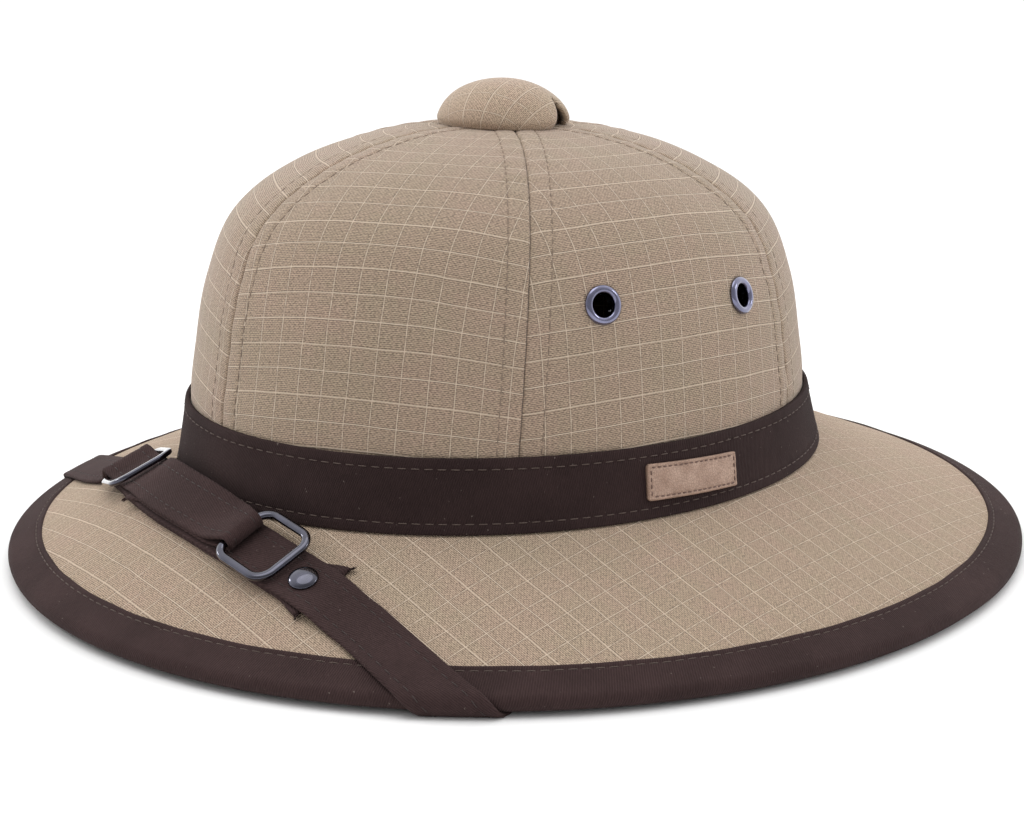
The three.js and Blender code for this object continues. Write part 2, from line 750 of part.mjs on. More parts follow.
// The hidden stretch: from the wrap, back under the brim and up inside the crown.
// Each row gives the strap's middle and the direction of its width, for the wearer's left side.
const HIDDEN_ROUTE = [
  { x: 106.0, y: -64, z: -40.5, wx: 0.93, wy: 0.1, wz: -0.33 },
  { x: 102.5, y: -48, z: -38.5, wx: 0.92, wy: 0.2, wz: -0.33 },
  { x: 98.0, y: -33, z: -37.0, wx: 0.85, wy: 0.4, wz: -0.33 },
  { x: 93.0, y: -20, z: -35.0, wx: 0.68, wy: 0.66, wz: -0.31 },
  { x: 88.5, y: -10, z: -31.5, wx: 0.42, wy: 0.87, wz: -0.27 },
  { x: 85.4, y: -3, z: -26.5, wx: 0.2, wy: 0.95, wz: -0.22 },
  { x: 84.6, y: 1, z: -19.0, wx: 0.06, wy: 0.99, wz: -0.12 },
  { x: 83.4, y: 2.5, z: -12.0, wx: 0.0, wy: 1.0, wz: -0.05 },
  { x: 82.2, y: 3, z: -6.0, wx: 0.0, wy: 1.0, wz: 0.0 },
];

function hiddenRows(side, lastRow) {
  const centre = lastRow[1];
  const edge = lastRow[2].clone().sub(lastRow[0]);
  const startWidth = edge.length();
  edge.normalize();
  const sign = Math.sign(edge.x * side) || 1;
  const stops = [{ p: centre, w: edge, size: startWidth }];
  for (const row of HIDDEN_ROUTE) {
    stops.push({
      p: vec(side * row.x, row.y, row.z),
      w: vec(side * row.wx, row.wy, row.wz).multiplyScalar(sign).normalize(),
      size: STRAP.width,
    });
  }
  const curve = new THREE.CatmullRomCurve3(stops.map((stop) => stop.p), false, 'centripetal');
  const rows = [];
  const perSpan = 2;
  const count = (stops.length - 1) * perSpan;
  for (let k = 1; k <= count; k += 1) {
    const share = k / count;
    const i = Math.min(stops.length - 2, Math.floor((k - 0.001) / perSpan));
    const f = k / perSpan - i;
    const p = curve.getPoint(share);
    const w = stops[i].w.clone().lerp(stops[i + 1].w, f).normalize();
    const size = mix(stops[i].size, stops[i + 1].size, f);
    rows.push([-0.5, 0, 0.5].map((part) => p.clone().addScaledVector(w, part * size)));
  }
  return rows;
}

function lowerStrap() {
  const ring = RINGS[0].from;
  const rows = [
    ...brimRows([
      { along: LOWER_END, height: LAYER.first, aside: 0 },
      { along: ring.along + 24, height: LAYER.first, aside: 0 },
      { along: ring.along, height: LAYER.first, width: RING_ONE_SQUEEZE },
    ], STRAP.aside).slice(0, -1),
    ...foldRows(ring.along, ring.height, -1, RING_ONE_SQUEEZE, STRAP.aside),
    ...brimRows([
      { along: ring.along + 2.6, height: LAYER.second + 2.45, width: RING_ONE_SQUEEZE },
      { along: ring.along + 5, height: LAYER.second + 1.3, width: RING_ONE_SQUEEZE },
      { along: ring.along + 8, height: LAYER.second + 0.4 },
      { along: ring.along + 12, height: LAYER.second },
      { along: ring.along + 24, height: LAYER.second, aside: 0 },
      { along: 68, height: LAYER.second, aside: 0 },
      { along: 76, height: LAYER.first, aside: 0 },
      { along: 84, height: LAYER.first, aside: 0 },
    ], STRAP.aside),
    ...wrapRows(1),
  ];
  rows.push(...hiddenRows(1, rows[rows.length - 1]));
  return rows;
}
function upperStrap() {
  const fold = RINGS[1].from;
  const over = RINGS[0].from;
  const step = STRAP.thickness + GAP;
  const rows = [
    ...brimRows([
      { along: UPPER_END, height: LAYER.third },
      { along: fold.along - 7, height: LAYER.third },
      { along: fold.along, height: LAYER.third, width: FOLD_SQUEEZE },
    ], STRAP.aside).slice(0, -1),
    ...foldRows(fold.along, fold.height, 1, FOLD_SQUEEZE, STRAP.aside),
    ...brimRows([
      { along: fold.along - 4, height: LAYER.fourth + 1.7, width: 0.93 },
      { along: fold.along - 8, height: LAYER.fourth + 0.5 },
      { along: fold.along - 12, height: LAYER.fourth },
      { along: UPPER_END - 1, height: LAYER.fourth },
      { along: UPPER_END - 8, height: LAYER.third },
      { along: over.along + 12, height: LAYER.third },
      { along: over.along + 8, height: LAYER.third + 0.4 },
      { along: over.along + 5, height: LAYER.third + 1.3 },
      { along: over.along + 2.6, height: LAYER.third + 2.45 },
      { along: over.along, height: over.height + FOLD + step + 0.05 },
      { along: over.along - 2.6, height: over.height + FOLD + step - 0.9 },
      { along: over.along - 4.4, height: over.height + FOLD - 1.2 },
      { along: over.along - 8, height: LAYER.first + 1.0 },
      { along: over.along - 13, height: LAYER.first, aside: 0.5 },
      { along: -84, height: LAYER.first, aside: 0 },
    ], STRAP.aside),
    ...wrapRows(-1),
  ];
  rows.push(...hiddenRows(-1, rows[rows.length - 1]));
  return rows;
}

// Slide ring: a rounded rectangle of round wire between its two bars
function ringFrame(row) {
  const a = strapPoint(row.from.along, STRAP.aside, row.from.height);
  const b = strapPoint(row.to.along, STRAP.aside, row.to.height);
  const long = b.clone().sub(a).normalize();
  const edge = STRAP.width / 2;
  const far = strapPoint(row.from.along, -edge, LAYER.third);
  const across = strapPoint(row.from.along, edge, LAYER.third).sub(far);
  across.addScaledVector(long, -across.dot(long)).normalize();
  const up = long.clone().cross(across).normalize();
  return { centre: a.addScaledVector(long, RING.halfLong), long, across, up };
}
function ringWire(row) {
  const frame = ringFrame(row);
  const path = [];
  const corners = [[1, 1], [-1, 1], [-1, -1], [1, -1]];
  corners.forEach(([sx, sy], k) => {
    for (let i = 0; i <= RING.cornerSteps; i += 1) {
      const turn = rad(k * 90 + (i * 90) / RING.cornerSteps);
      path.push([
        sx * (RING.halfLong - RING.corner) + RING.corner * Math.cos(turn),
        sy * (RING.halfCross - RING.corner) + RING.corner * Math.sin(turn),
        Math.cos(turn),
        Math.sin(turn),
      ]);
    }
  });
  const points = [];
  for (const [x, y, nx, ny] of path) {
    const middle = frame.centre.clone().addScaledVector(frame.long, x).addScaledVector(frame.across, y);
    const out = frame.long.clone().multiplyScalar(nx).addScaledVector(frame.across, ny);
    for (let i = 0; i < RING.facets; i += 1) {
      const turn = rad(((i + 0.5) * 360) / RING.facets);
      points.push(middle.clone().addScaledVector(out, RING.wire * Math.cos(turn))
        .addScaledVector(frame.up, RING.wire * Math.sin(turn)));
    }
  }
  const triangles = [];
  for (let k = 0; k < path.length; k += 1) {
    const next = (k + 1) % path.length;
    for (let i = 0; i < RING.facets; i += 1) {
      const j = (i + 1) % RING.facets;
      const a = k * RING.facets + i;
      const b = k * RING.facets + j;
      const c = next * RING.facets + j;
      const d = next * RING.facets + i;
      triangles.push([a, b, c], [a, c, d]);
    }
  }
  return bodyFromTriangles(points, triangles);
}

// Snap rivet and the holes for its post
function snapFrame() {
  const base = strapPoint(SNAP.along, 0, 0);
  const up = strapPoint(SNAP.along, 0, 1).sub(base).normalize();
  const turn = new THREE.Quaternion().setFromUnitVectors(vec(0, 0, 1), up);
  return new THREE.Matrix4().compose(base, turn, vec(1, 1, 1));
}
function snapBody() {
  const seat = LAYER.second + STRAP.thickness / 2 + GAP;
  const foot = LAYER.first - STRAP.thickness / 2 + GAP / 3;
  const profile = [[0, foot], [SNAP.post, foot]];
  profile.push([SNAP.post, seat], [SNAP.radius, seat], [SNAP.radius, seat + SNAP.rim]);
  for (const share of SNAP_SHARES) {
    const bulge = (SNAP.dome - SNAP.rim) * Math.sqrt(1 - share * share);
    profile.push([SNAP.radius * share, seat + SNAP.rim + bulge]);
  }
  profile.push([0, seat + SNAP.dome]);
  const geometry = latheBody(profile, SNAP.facets);
  geometry.applyMatrix4(snapFrame());
  return geometry;
}
function snapCutter() {
  const tall = LAYER.second + 3;
  const cutter = new THREE.CylinderGeometry(SNAP.hole, SNAP.hole, tall, SNAP.facets / 2);
  cutter.rotateX(Math.PI / 2);
  cutter.translate(0, 0, tall / 2 - 1);
  cutter.applyMatrix4(snapFrame());
  return cutter;
}

// Every body leans by the small angle that the straps under the front rim give it
const LEAN = Math.atan(FRONT_LIFT / (2 * BRIM.edgeHalfLength));
const PIVOT = vec(0, BRIM.edgeForward + BRIM.edgeHalfLength, 0);
function settle(geometry) {
  geometry.translate(-PIVOT.x, -PIVOT.y, -PIVOT.z);
  geometry.rotateX(-LEAN);
  geometry.translate(PIVOT.x, PIVOT.y, PIVOT.z);
  return geometry;
}

const group = new THREE.Group();
group.name = 'pith_helmet';
function addPiece(name, geometry, colour, roughness, metalness) {
  const material = new THREE.MeshStandardMaterial({ color: colour, roughness, metalness });
  const flat = geometry.index ? geometry.toNonIndexed() : geometry;
  flat.deleteAttribute('normal');
  flat.deleteAttribute('uv');
  flat.computeVertexNormals();
  const mesh = new THREE.Mesh(flat, material);
  mesh.name = name;
  group.add(mesh);
  return mesh;
}

for (const gore of GORES) {
  const tools = EYELETS.filter((row) => row.gore === gore.name).map(eyeletCutter);
  const body = goreBody(gore);
  addPiece(gore.name, settle(tools.length ? cut(body, tools) : body), COLOUR.cloth, 0.9, 0);
}
addPiece('vent_cap', settle(capBody()), COLOUR.cloth, 0.9, 0);
addPiece('brim', settle(brimBody()), COLOUR.cloth, 0.9, 0);
addPiece('brim_binding', settle(bindingBody()), COLOUR.twill, 0.9, 0);
addPiece('hat_band', settle(bandBody()), COLOUR.twill, 0.9, 0);
for (const row of EYELETS) addPiece(row.name, settle(eyeletBody(row)), COLOUR.metal, 0.35, 0.9);
addPiece('label_patch', settle(labelBody()), COLOUR.leather, 0.7, 0);

// The straps lie flat on the ground where they carry the rim
function flattened(geometry, floor) {
  const place = geometry.attributes.position;
  for (let k = 0; k < place.count; k += 1) place.setZ(k, Math.max(floor, place.getZ(k)));
  return geometry;
}
const rimBottom = new THREE.Box3().setFromObject(group.getObjectByName('brim_binding')).min.z;
const lower = settle(cut(strapBody(lowerStrap()), [snapCutter()]));
const upper = settle(strapBody(upperStrap()));
addPiece('chin_strap_lower', flattened(lower, rimBottom), COLOUR.twill, 0.9, 0);
addPiece('chin_strap_upper', flattened(upper, rimBottom), COLOUR.twill, 0.9, 0);
for (const row of RINGS) addPiece(row.name, settle(ringWire(row)), COLOUR.metal, 0.3, 0.9);
addPiece('snap_rivet', settle(snapBody()), COLOUR.metal, 0.3, 0.9);

// Origin at the middle of the foot
const box = new THREE.Box3().setFromObject(group);
const centre = box.getCenter(new THREE.Vector3());
for (const mesh of group.children) mesh.geometry.translate(-centre.x, -centre.y, -box.min.z);

export default group;
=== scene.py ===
"""Looks of a fabric pith helmet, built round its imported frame.

The hat is first worked out in millimetres about the middle of its crown, with height 0 at the top of the hat
band, the wearer's front at -Y and the wearer's left at +X. `settled` then moves it to the frame's place.
"""

import math

import bmesh
import bpy
import numpy as np
from bpy.props import FloatProperty, FloatVectorProperty, IntProperty, PointerProperty
from mathutils import Matrix


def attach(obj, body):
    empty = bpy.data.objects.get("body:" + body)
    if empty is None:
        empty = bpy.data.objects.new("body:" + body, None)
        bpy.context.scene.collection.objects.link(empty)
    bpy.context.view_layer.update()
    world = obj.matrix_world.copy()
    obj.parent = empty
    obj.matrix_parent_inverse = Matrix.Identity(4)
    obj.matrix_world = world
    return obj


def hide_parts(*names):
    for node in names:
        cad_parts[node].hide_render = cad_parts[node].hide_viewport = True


bl_info = {
    "name": "Pith helmet",
    "version": (1, 0, 0),
    "blender": (4, 5, 0),
    "location": "View3D > Sidebar > Pith helmet",
    "description": "Builds the cloth, tape, leather and metal of a fabric pith helmet",
    "category": "Object",
}

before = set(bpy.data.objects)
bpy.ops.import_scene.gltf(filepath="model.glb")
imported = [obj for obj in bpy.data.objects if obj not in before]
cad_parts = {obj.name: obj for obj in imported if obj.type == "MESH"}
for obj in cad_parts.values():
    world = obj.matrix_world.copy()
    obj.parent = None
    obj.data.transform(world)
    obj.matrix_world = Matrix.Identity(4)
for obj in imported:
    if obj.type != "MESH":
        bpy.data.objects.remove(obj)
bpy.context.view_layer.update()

# Crown: half sizes at the top of the band, rise, and swell against the plain half ellipse by angle
CROWN_HALF_WIDTH = 84.7
CROWN_HALF_LENGTH = 102.3
CROWN_RISE = 83.84
CROWN_LEAN = 3.54
SWELL_ANGLES = (0, 12, 25, 38, 52, 68, 90)
SWELLS = (1.0, 0.999, 1.035, 1.078, 1.053, 1.006, 0.957)
# How many degrees the two front side seams bow: at the foot, in the middle and at the top
SEAM_BOW = (-1.0, -1.7, 9.1)
# How much a level line rises in the flat cloth, by the square of the distance from the gore's middle: at the
# band, and how much more at the top
BOWL_FRONT = (0.0012, 0.0024)
BOWL_SIDE = (0.0006, 0.0014)
# Bore under the vent cap
VENT_RADIUS = 8.0
# Band: the drop of its foot, and where and how far the foot is drawn in
BAND_DROP = 19.2
BAND_FRONT_DROP = 0.96
BAND_FLARE = 5.0
BAND_REACH = 1.36
ROOT_REACH = BAND_FLARE + BAND_REACH
DRAWN_AT = -44.0
DRAWN_WIDTH = 34.0
DRAWN_IN = 2.6
# Brim edge line and rim, and where and how far the rim curls up
EDGE_HALF_WIDTH = 147.2
EDGE_HALF_LENGTH = 165.15
EDGE_BACK = 10.25
EDGE_DROP = 42.95
RIM_ROUND = 2.5
CURL_AT = 132.0
CURL_WIDTH = 36.0
CURL_UP = 1.0
# Strap route: nearest distance from the crown's middle, and the bends of the developed line
STRAP_NEAREST = 116.3
CONE_RATIO = 0.906
BEND_LEFT = 0.86
BEND_RIGHT = 0.78
# Heights of the strap's layers over the cloth, and the radius of its middle line round a bar
LAYERS = (0.85, 2.15, 3.45, 4.75)
FOLD_RADIUS = 2.02
# Each ring's two bars: place along the strap and height over the cloth
RING_ONE = (-52.2, 2.87, -32.7, 5.45)
RING_TWO = (31.2, 5.47, 50.7, 4.6)
SNAP_ALONG = 58.4
STRAP_ASIDE = -1.0
# The strap comes down off the binding over this stretch, by the depth at which the cloth lies under its top
STEP_FROM = 9.8
STEP_LENGTH = 5.0
CLOTH_SINK = 0.4
# Shares of its width to which each strap bunches up in its ring
LOWER_SQUEEZE = 0.97
UPPER_SQUEEZE = 0.77
# How far the strap strays inwards from its plain route, and how far its inner edge rides up the band
PULL_ALONG = (-125, -96, -76, -60, -45, -34, -16, 0, 20, 45, 60, 80, 88, 96, 105, 114, 130)
PULL_INWARD = (
    -4.6, -4.4, -4.5, -5.7, -5.3, -4.6, -2.8, -1.75, -1.7, -2.3, -3.1, -3.4, -3.0, -2.1, -1.25, -0.85, -0.6,
)
LEAN_ALONG = (-31, -19, -8, 6, 16, 26)
LEAN_LIFT = (0, 1.8, 2.3, 2.1, 1.3, 0)
LEAN_POWER = 1.5
# Eyelet places: degrees round the crown and up it
EYELETS = (
    ("eyelet_left_front", 73.9, 26.75), ("eyelet_left_back", 105.7, 24.9),
    ("eyelet_right_front", -73.9, 26.75), ("eyelet_right_back", -105.7, 24.9),
)
# Radius of the hole in the cloth under each eyelet
EYELET_CUT = 4.4
# Place in the frame: the front stands on the straps under its rim, so the hat leans back a little
FRONT_LIFT = 1.24
SHIFT = (0.0, -10.186, 47.757)
# Pitch of the fine ribs of both cloths
RIPSTOP_RIB = 0.00052
TWILL_RIB = 0.00066
# Points closer than this are one point
WELD = 1e-7
# Colours of the sewing threads
THREADS = {
    "Sand thread": (0.27, 0.20, 0.15),
    "Brown thread": (0.105, 0.072, 0.06),
    "Patch thread": (0.17, 0.10, 0.08),
    "Dark thread": (0.05, 0.033, 0.031),
}


def length_of(name, text, default):
    return FloatProperty(name=name, description=text, default=default, unit="LENGTH", subtype="DISTANCE")


def angle_of(name, text, degrees):
    turn = math.radians(degrees)
    return FloatProperty(name=name, description=text, default=turn, unit="ROTATION", subtype="ANGLE")


def colour_of(name, text, default):
    return FloatVectorProperty(
        name=name, description=text, default=default, subtype="COLOR", size=3, min=0.0, max=1.0,
    )


class HatSizes(bpy.types.PropertyGroup):
    """Sizes of the hat's cloth and trim that a user may change."""

    cloth: length_of("Crown cloth", "Thickness of the stiffened crown cloth", 0.0019)
    seam_depth: length_of("Seam depth", "How deep the crown seams are drawn in", 0.0006)
    seam_margin: length_of("Seam margin", "Distance from a seam to the stitches beside it", 0.0062)
    brim_cloth: length_of("Brim cloth", "Thickness of the brim", 0.0029)
    binding_width: length_of("Binding width", "Width of the tape on top of the brim", 0.0095)
    strap_width: length_of("Strap width", "Width of the chin strap", 0.0158)
    strap_thickness: length_of("Strap thickness", "Thickness of one layer of the chin strap", 0.00105)
    stitch_length: length_of("Stitch length", "Length of one topstitch", 0.0026)


class HatFinish(bpy.types.PropertyGroup):
    """Colours of the hat, and the pitch of its woven grid."""

    cloth_colour: colour_of("Cloth", "Colour of the ripstop cloth", (0.355, 0.27, 0.203))
    grid_colour: colour_of("Grid threads", "Colour of the grid's thick threads", (0.78, 0.63, 0.49))
    twill_colour: colour_of("Twill", "Colour of the band, binding and strap", (0.048, 0.0285, 0.028))
    leather_colour: colour_of("Leather", "Colour of the patch", (0.475, 0.325, 0.25))
    metal_colour: colour_of("Metal", "Colour of the rings, eyelets and rivet", (0.032, 0.032, 0.05))
    grid_across: length_of("Grid across", "Distance between the threads that run up the cloth", 0.0074)
    grid_up: length_of("Grid up", "Distance between the threads that run across the cloth", 0.00705)


class HatStage(bpy.types.PropertyGroup):
    """Camera and light of the picture, and how finely the round pieces are divided."""

    bearing: angle_of("Bearing", "Direction of the camera, from the hat's front towards its left", 51.445)
    height: angle_of("Height", "Angle of the camera above the floor", 13.775)
    roll: angle_of("Roll", "Turn of the camera about its own axis", -1.157)
    distance: length_of("Distance", "Distance of the camera from the middle of the crown's foot", 0.56013)
    lens: FloatProperty(name="Lens", description="Focal length of the camera in millimetres", default=61.93)
    light: FloatProperty(name="Light", description="Share of the studio light", default=1.0, min=0.0)
    segments: IntProperty(
        name="Segments", description="Steps round the brim and the band", default=540, min=60,
    )


def sizes():
    return bpy.context.scene.hat_sizes


def finish():
    return bpy.context.scene.hat_finish


# Shapes


def radians(degrees):
    return np.asarray(degrees, float) * math.pi / 180.0


def unit(v):
    return v / np.maximum(np.linalg.norm(v, axis=-1, keepdims=True), 1e-9)


def eased(x, low, high):
    """Rises smoothly from 0 at `low` to 1 at `high`: 3 s squared less 2 s cubed."""
    s = np.clip((np.asarray(x, float) - low) / (high - low), 0.0, 1.0)
    return s * s * (3.0 - 2.0 * s)


def bump(x, centre, width):
    """A soft hump of height 1 round `centre`: e to the power of less the square of the distance over the
    width."""
    return np.exp(-(((np.asarray(x, float) - centre) / width) ** 2))


def edge_round(distance, radius):
    """Share of the full height near a rounded edge: a quarter circle, one radius wide."""
    return np.sqrt(np.clip(1 - (1 - np.clip(distance / radius, 0, 1)) ** 2, 0, 1))


def cubic(s, span, start, start_slope, end, end_slope):
    """Cubic from one value to the next with a given slope at each, at the share `s` of the span."""
    return (
        (2 * s**3 - 3 * s**2 + 1) * start
        + (s**3 - 2 * s**2 + s) * span * start_slope
        + (3 * s**2 - 2 * s**3) * end
        + (s**3 - s**2) * span * end_slope
    )


def through_rows(x, xs, ys):
    """Cubic through the points of a table, each point with the slope between its neighbours, level at the
    end."""
    xs = np.asarray(xs, float)
    ys = np.asarray(ys, float)
    slopes = np.empty(len(xs))
    slopes[1:-1] = (ys[2:] - ys[:-2]) / (xs[2:] - xs[:-2])
    slopes[0] = (ys[1] - ys[0]) / (xs[1] - xs[0])
    slopes[-1] = 0.0
    x = np.asarray(x, float)
    i = np.clip(np.searchsorted(xs, x, side="left") - 1, 0, len(xs) - 2)
    span = xs[i + 1] - xs[i]
    return cubic((x - xs[i]) / span, span, ys[i], slopes[i], ys[i + 1], slopes[i + 1])


def table_value(x, xs, ys):
    """The same cubic, held at its end values outside the table."""
    return through_rows(np.clip(x, xs[0], xs[-1]), xs, ys)


def halved(shape, low, high, rounds, short):
    """Where a growing measure passes its goal: the range is halved again and again, and `short` says where
    its middle is still before the goal."""
    low = np.full(shape, low)
    high = np.full(shape, high)
    for _ in range(rounds):
        middle = (low + high) / 2
        before = short(middle)
        low = np.where(before, middle, low)
        high = np.where(before, high, middle)
    return (low + high) / 2


def run(points):
    """How far each point lies from the first along its line. Lines run down the first axis."""
    steps = np.linalg.norm(np.diff(points, axis=0), axis=-1)
    return np.concatenate([np.zeros_like(steps[:1]), np.cumsum(steps, axis=0)])


def read_columns(at, far, rows):
    """Reads every column of a table at the places `at`, straight between its rows."""
    return np.stack([np.interp(at, far, rows[:, k]) for k in range(rows.shape[1])], -1)


def crown_surface(around, up):
    """Outer face of the crown: a half ellipsoid whose radius is multiplied by the swell at the angle `up`,
    with its top moved to the front by the square of the height. Both angles are in degrees."""
    swell = through_rows(up, SWELL_ANGLES, SWELLS)
    out = swell * np.cos(radians(up))
    high = swell * np.sin(radians(up))
    a = radians(around)
    return np.stack(
        [
            CROWN_HALF_WIDTH * out * np.sin(a),
            -CROWN_HALF_LENGTH * out * np.cos(a) - CROWN_LEAN * high**2,
            CROWN_RISE * high + 0 * a,
        ],
        -1,
    )


def foot_line(around, reach, height):
    """Ellipse round the crown's foot, `reach` outside the crown."""
    a = radians(around)
    return np.stack(
        [(CROWN_HALF_WIDTH + reach) * np.sin(a), -(CROWN_HALF_LENGTH + reach) * np.cos(a), height + 0 * a], -1
    )


def band_foot(around):
    """Height of the band's lower edge: a little lower at the front."""
    return -BAND_DROP - BAND_FRONT_DROP * np.cos(radians(around))


def band_flare(around):
    """How far the band's foot stands out: less at the front right, where the cloth is drawn in."""
    off = (np.asarray(around, float) - DRAWN_AT + 180) % 360 - 180
    return BAND_FLARE - DRAWN_IN * bump(off, 0.0, DRAWN_WIDTH)


def brim_frame(around):
    """Root and edge of the brim's section at each angle, its directions out and up, and its length."""
    a = radians(around)
    root = foot_line(around, ROOT_REACH, band_foot(around))
    edge = np.stack(
        [EDGE_HALF_WIDTH * np.sin(a), EDGE_BACK - EDGE_HALF_LENGTH * np.cos(a), -EDGE_DROP + 0 * a], -1
    )
    out = edge - root
    length = np.linalg.norm(out, axis=-1)
    out = unit(out)
    flat = np.hypot(out[..., 0], out[..., 1])
    up = np.stack([-out[..., 0] * out[..., 2] / flat, -out[..., 1] * out[..., 2] / flat, flat], -1)
    return root, edge, out, up, length


def rim_curl(around):
    """How much the rim curls up behind the wearer's left."""
    return CURL_UP * bump(around, CURL_AT, CURL_WIDTH)


def brim_ellipse(share):
    """Half sizes and middle of the brim's ellipse at a share of the way from root to edge."""
    half_width = (CROWN_HALF_WIDTH + ROOT_REACH) * (1 - share) + EDGE_HALF_WIDTH * share
    half_length = (CROWN_HALF_LENGTH + ROOT_REACH) * (1 - share) + EDGE_HALF_LENGTH * share
    return half_width, half_length, EDGE_BACK * share


def brim_spot(x, y):
    """Angle and share of the way from root to edge at plan points. The ellipses from root to edge grow
    evenly, so the share is found by halving the range."""

    def outside(share):
        a, b, c = brim_ellipse(share)
        return (x / a) ** 2 + ((y - c) / b) ** 2 > 1

    share = halved(np.shape(x), -0.5, 1.9, 44, outside)
    a, b, c = brim_ellipse(share)
    return np.degrees(np.arctan2(x / a, -(y - c) / b)), share


def strap_plan(along):
    """Middle line of the strap in plan: nearly straight on the brim laid flat, so its distance from the
    crown's middle is the nearest distance over the cosine of the bent angle."""
    turn = np.arctan(along * CONE_RATIO / STRAP_NEAREST) / CONE_RATIO
    bend = np.where(along >= 0, BEND_LEFT, BEND_RIGHT)
    reach = STRAP_NEAREST / np.cos(bend * turn) + table_value(along, PULL_ALONG, PULL_INWARD)
    return np.stack([reach * np.sin(turn), -reach * np.cos(turn)], -1)


def strap_heading(along):
    """Direction of the strap's middle line in plan."""
    return unit(strap_plan(along + 0.5) - strap_plan(along - 0.5))


def lean_lift(along, across):
    """How much the strap's inner edge leans on the band: the table's lift, times a power of the share
    inwards."""
    inner = np.maximum(0, -across / (sizes().strap_width * 500))
    return np.maximum(table_value(along, LEAN_ALONG, LEAN_LIFT), 0) * inner**LEAN_POWER


def strap_surface(along, across, high):
    """Point of the strap, `high` above the cloth. Past the edge line it goes round the rim as round a tube
    and then on under the brim."""
    along, across, high = np.broadcast_arrays(*(np.asarray(v, float) for v in (along, across, high)))
    high = high + lean_lift(along, across)
    here = strap_plan(along)
    ahead = strap_heading(along)
    side = np.stack([ahead[..., 1], -ahead[..., 0]], -1)

    def plan_height(point):
        around, share = brim_spot(point[..., 0], point[..., 1])
        return band_foot(around) * (1 - share) - EDGE_DROP * share

    slope = (plan_height(here - side) - plan_height(here + side)) / 2
    spot = here + side * (across / np.hypot(1, slope))[..., None]
    around, share = brim_spot(spot[..., 0], spot[..., 1])
    _, edge, out, up, length = brim_frame(around)
    beyond = (share - 1) * length
    lowered = high - CLOTH_SINK * np.clip((-beyond - STEP_FROM) / STEP_LENGTH, 0, 1)
    on_brim = edge + out * beyond[..., None] + up * lowered[..., None]
    radius = RIM_ROUND + high
    turn = np.clip(beyond / radius, 0, math.pi)
    rest = np.maximum(beyond - turn * radius, 0)
    lift = up * (radius * np.cos(turn))[..., None]
    reach = out * (radius * np.sin(turn) - rest)[..., None]
    round_rim = edge - up * RIM_ROUND + lift + reach
    return np.where((beyond <= 0)[..., None], on_brim, round_rim)


def settled(points):
    """Moves hat points in millimetres to the frame in metres: a small lean about the back of the rim, then a
    shift to the middle of the foot."""
    p = np.array(points, float)
    lean = -math.atan(FRONT_LIFT / (2 * EDGE_HALF_LENGTH))
    pivot = EDGE_BACK + EDGE_HALF_LENGTH
    y = p[..., 1] - pivot
    z = p[..., 2].copy()
    p[..., 1] = y * math.cos(lean) - z * math.sin(lean) + pivot
    p[..., 2] = y * math.sin(lean) + z * math.cos(lean)
    return (p + np.array(SHIFT)) / 1000.0


def grid_normals(points, closed_rows=False, closed_columns=False):
    """Unit normals of a grid of points, from the differences of neighbours along rows and columns."""

    def difference(p, axis, closed):
        if closed:
            return np.roll(p, -1, axis) - np.roll(p, 1, axis)
        return np.gradient(p, axis=axis)

    return unit(np.cross(difference(points, 1, closed_columns), difference(points, 0, closed_rows)))


# Meshes


def put_mesh(name, points, faces, uvs=None, smooth=True):
    """Makes one object from an array of points, an array of four-sided faces and uv values per point.
    What would sink below the surface that the hat rests on is flattened on it."""
    points = points.copy()
    points[:, 2] = np.maximum(points[:, 2], 0.0)
    mesh = bpy.data.meshes.new(name)
    mesh.vertices.add(len(points))
    mesh.vertices.foreach_set("co", points.astype(np.float32).ravel())
    corners = faces.shape[1]
    mesh.loops.add(faces.size)
    mesh.loops.foreach_set("vertex_index", faces.astype(np.int32).ravel())
    mesh.polygons.add(len(faces))
    mesh.polygons.foreach_set("loop_start", np.arange(0, faces.size, corners, dtype=np.int32))
    mesh.update(calc_edges=True)
    if smooth:
        mesh.shade_smooth()
    for title, values in (uvs or {}).items():
        layer = mesh.uv_layers.new(name=title)
        layer.data.foreach_set("uv", values[faces.ravel()].astype(np.float32).ravel())
    thing = bpy.data.objects.new(name, mesh)
    bpy.context.scene.collection.objects.link(thing)
    return thing


def grid_faces(rows, columns, closed_rows=False, closed_columns=False, first=0):
    """Faces of a grid of points as rows of four corners, each grid side closed on itself where asked."""
    i = np.arange(rows if closed_rows else rows - 1)
    j = np.arange(columns if closed_columns else columns - 1)
    i, j = np.meshgrid(i, j, indexing="ij")
    i2 = (i + 1) % rows
    j2 = (j + 1) % columns
    faces = np.stack([i * columns + j, i * columns + j2, i2 * columns + j2, i2 * columns + j], -1)
    return faces.reshape(-1, 4) + first


def surface(name, points, uvs=None, closed_rows=False, closed_columns=False, flip=False, cuts=()):
    """One object from a grid of points in hat millimetres, with uv values in metres for every point.
    A closed grid that carries uv values has its first row or column repeated, so that the pattern runs on.
    Each cut is a centre and a radius; faces whose middle lies inside one are left out."""
    rows, columns = points.shape[:2]
    faces = grid_faces(rows, columns, closed_rows, closed_columns)
    for centre, radius in cuts:
        middles = points.reshape(-1, 3)[faces].mean(axis=1)
        faces = faces[np.linalg.norm(middles - centre, axis=-1) > radius]
    if flip:
        faces = faces[:, ::-1]
    laid = {k: v.reshape(-1, 2) for k, v in (uvs or {}).items()}
    return put_mesh(name, settled(points).reshape(-1, 3), faces, laid)


def reworked(thing, work):
    """Runs one change on a piece's mesh and smooths its shading again."""
    shape = bmesh.new()
    shape.from_mesh(thing.data)
    work(shape)
    shape.to_mesh(thing.data)
    shape.free()
    thing.data.shade_smooth()


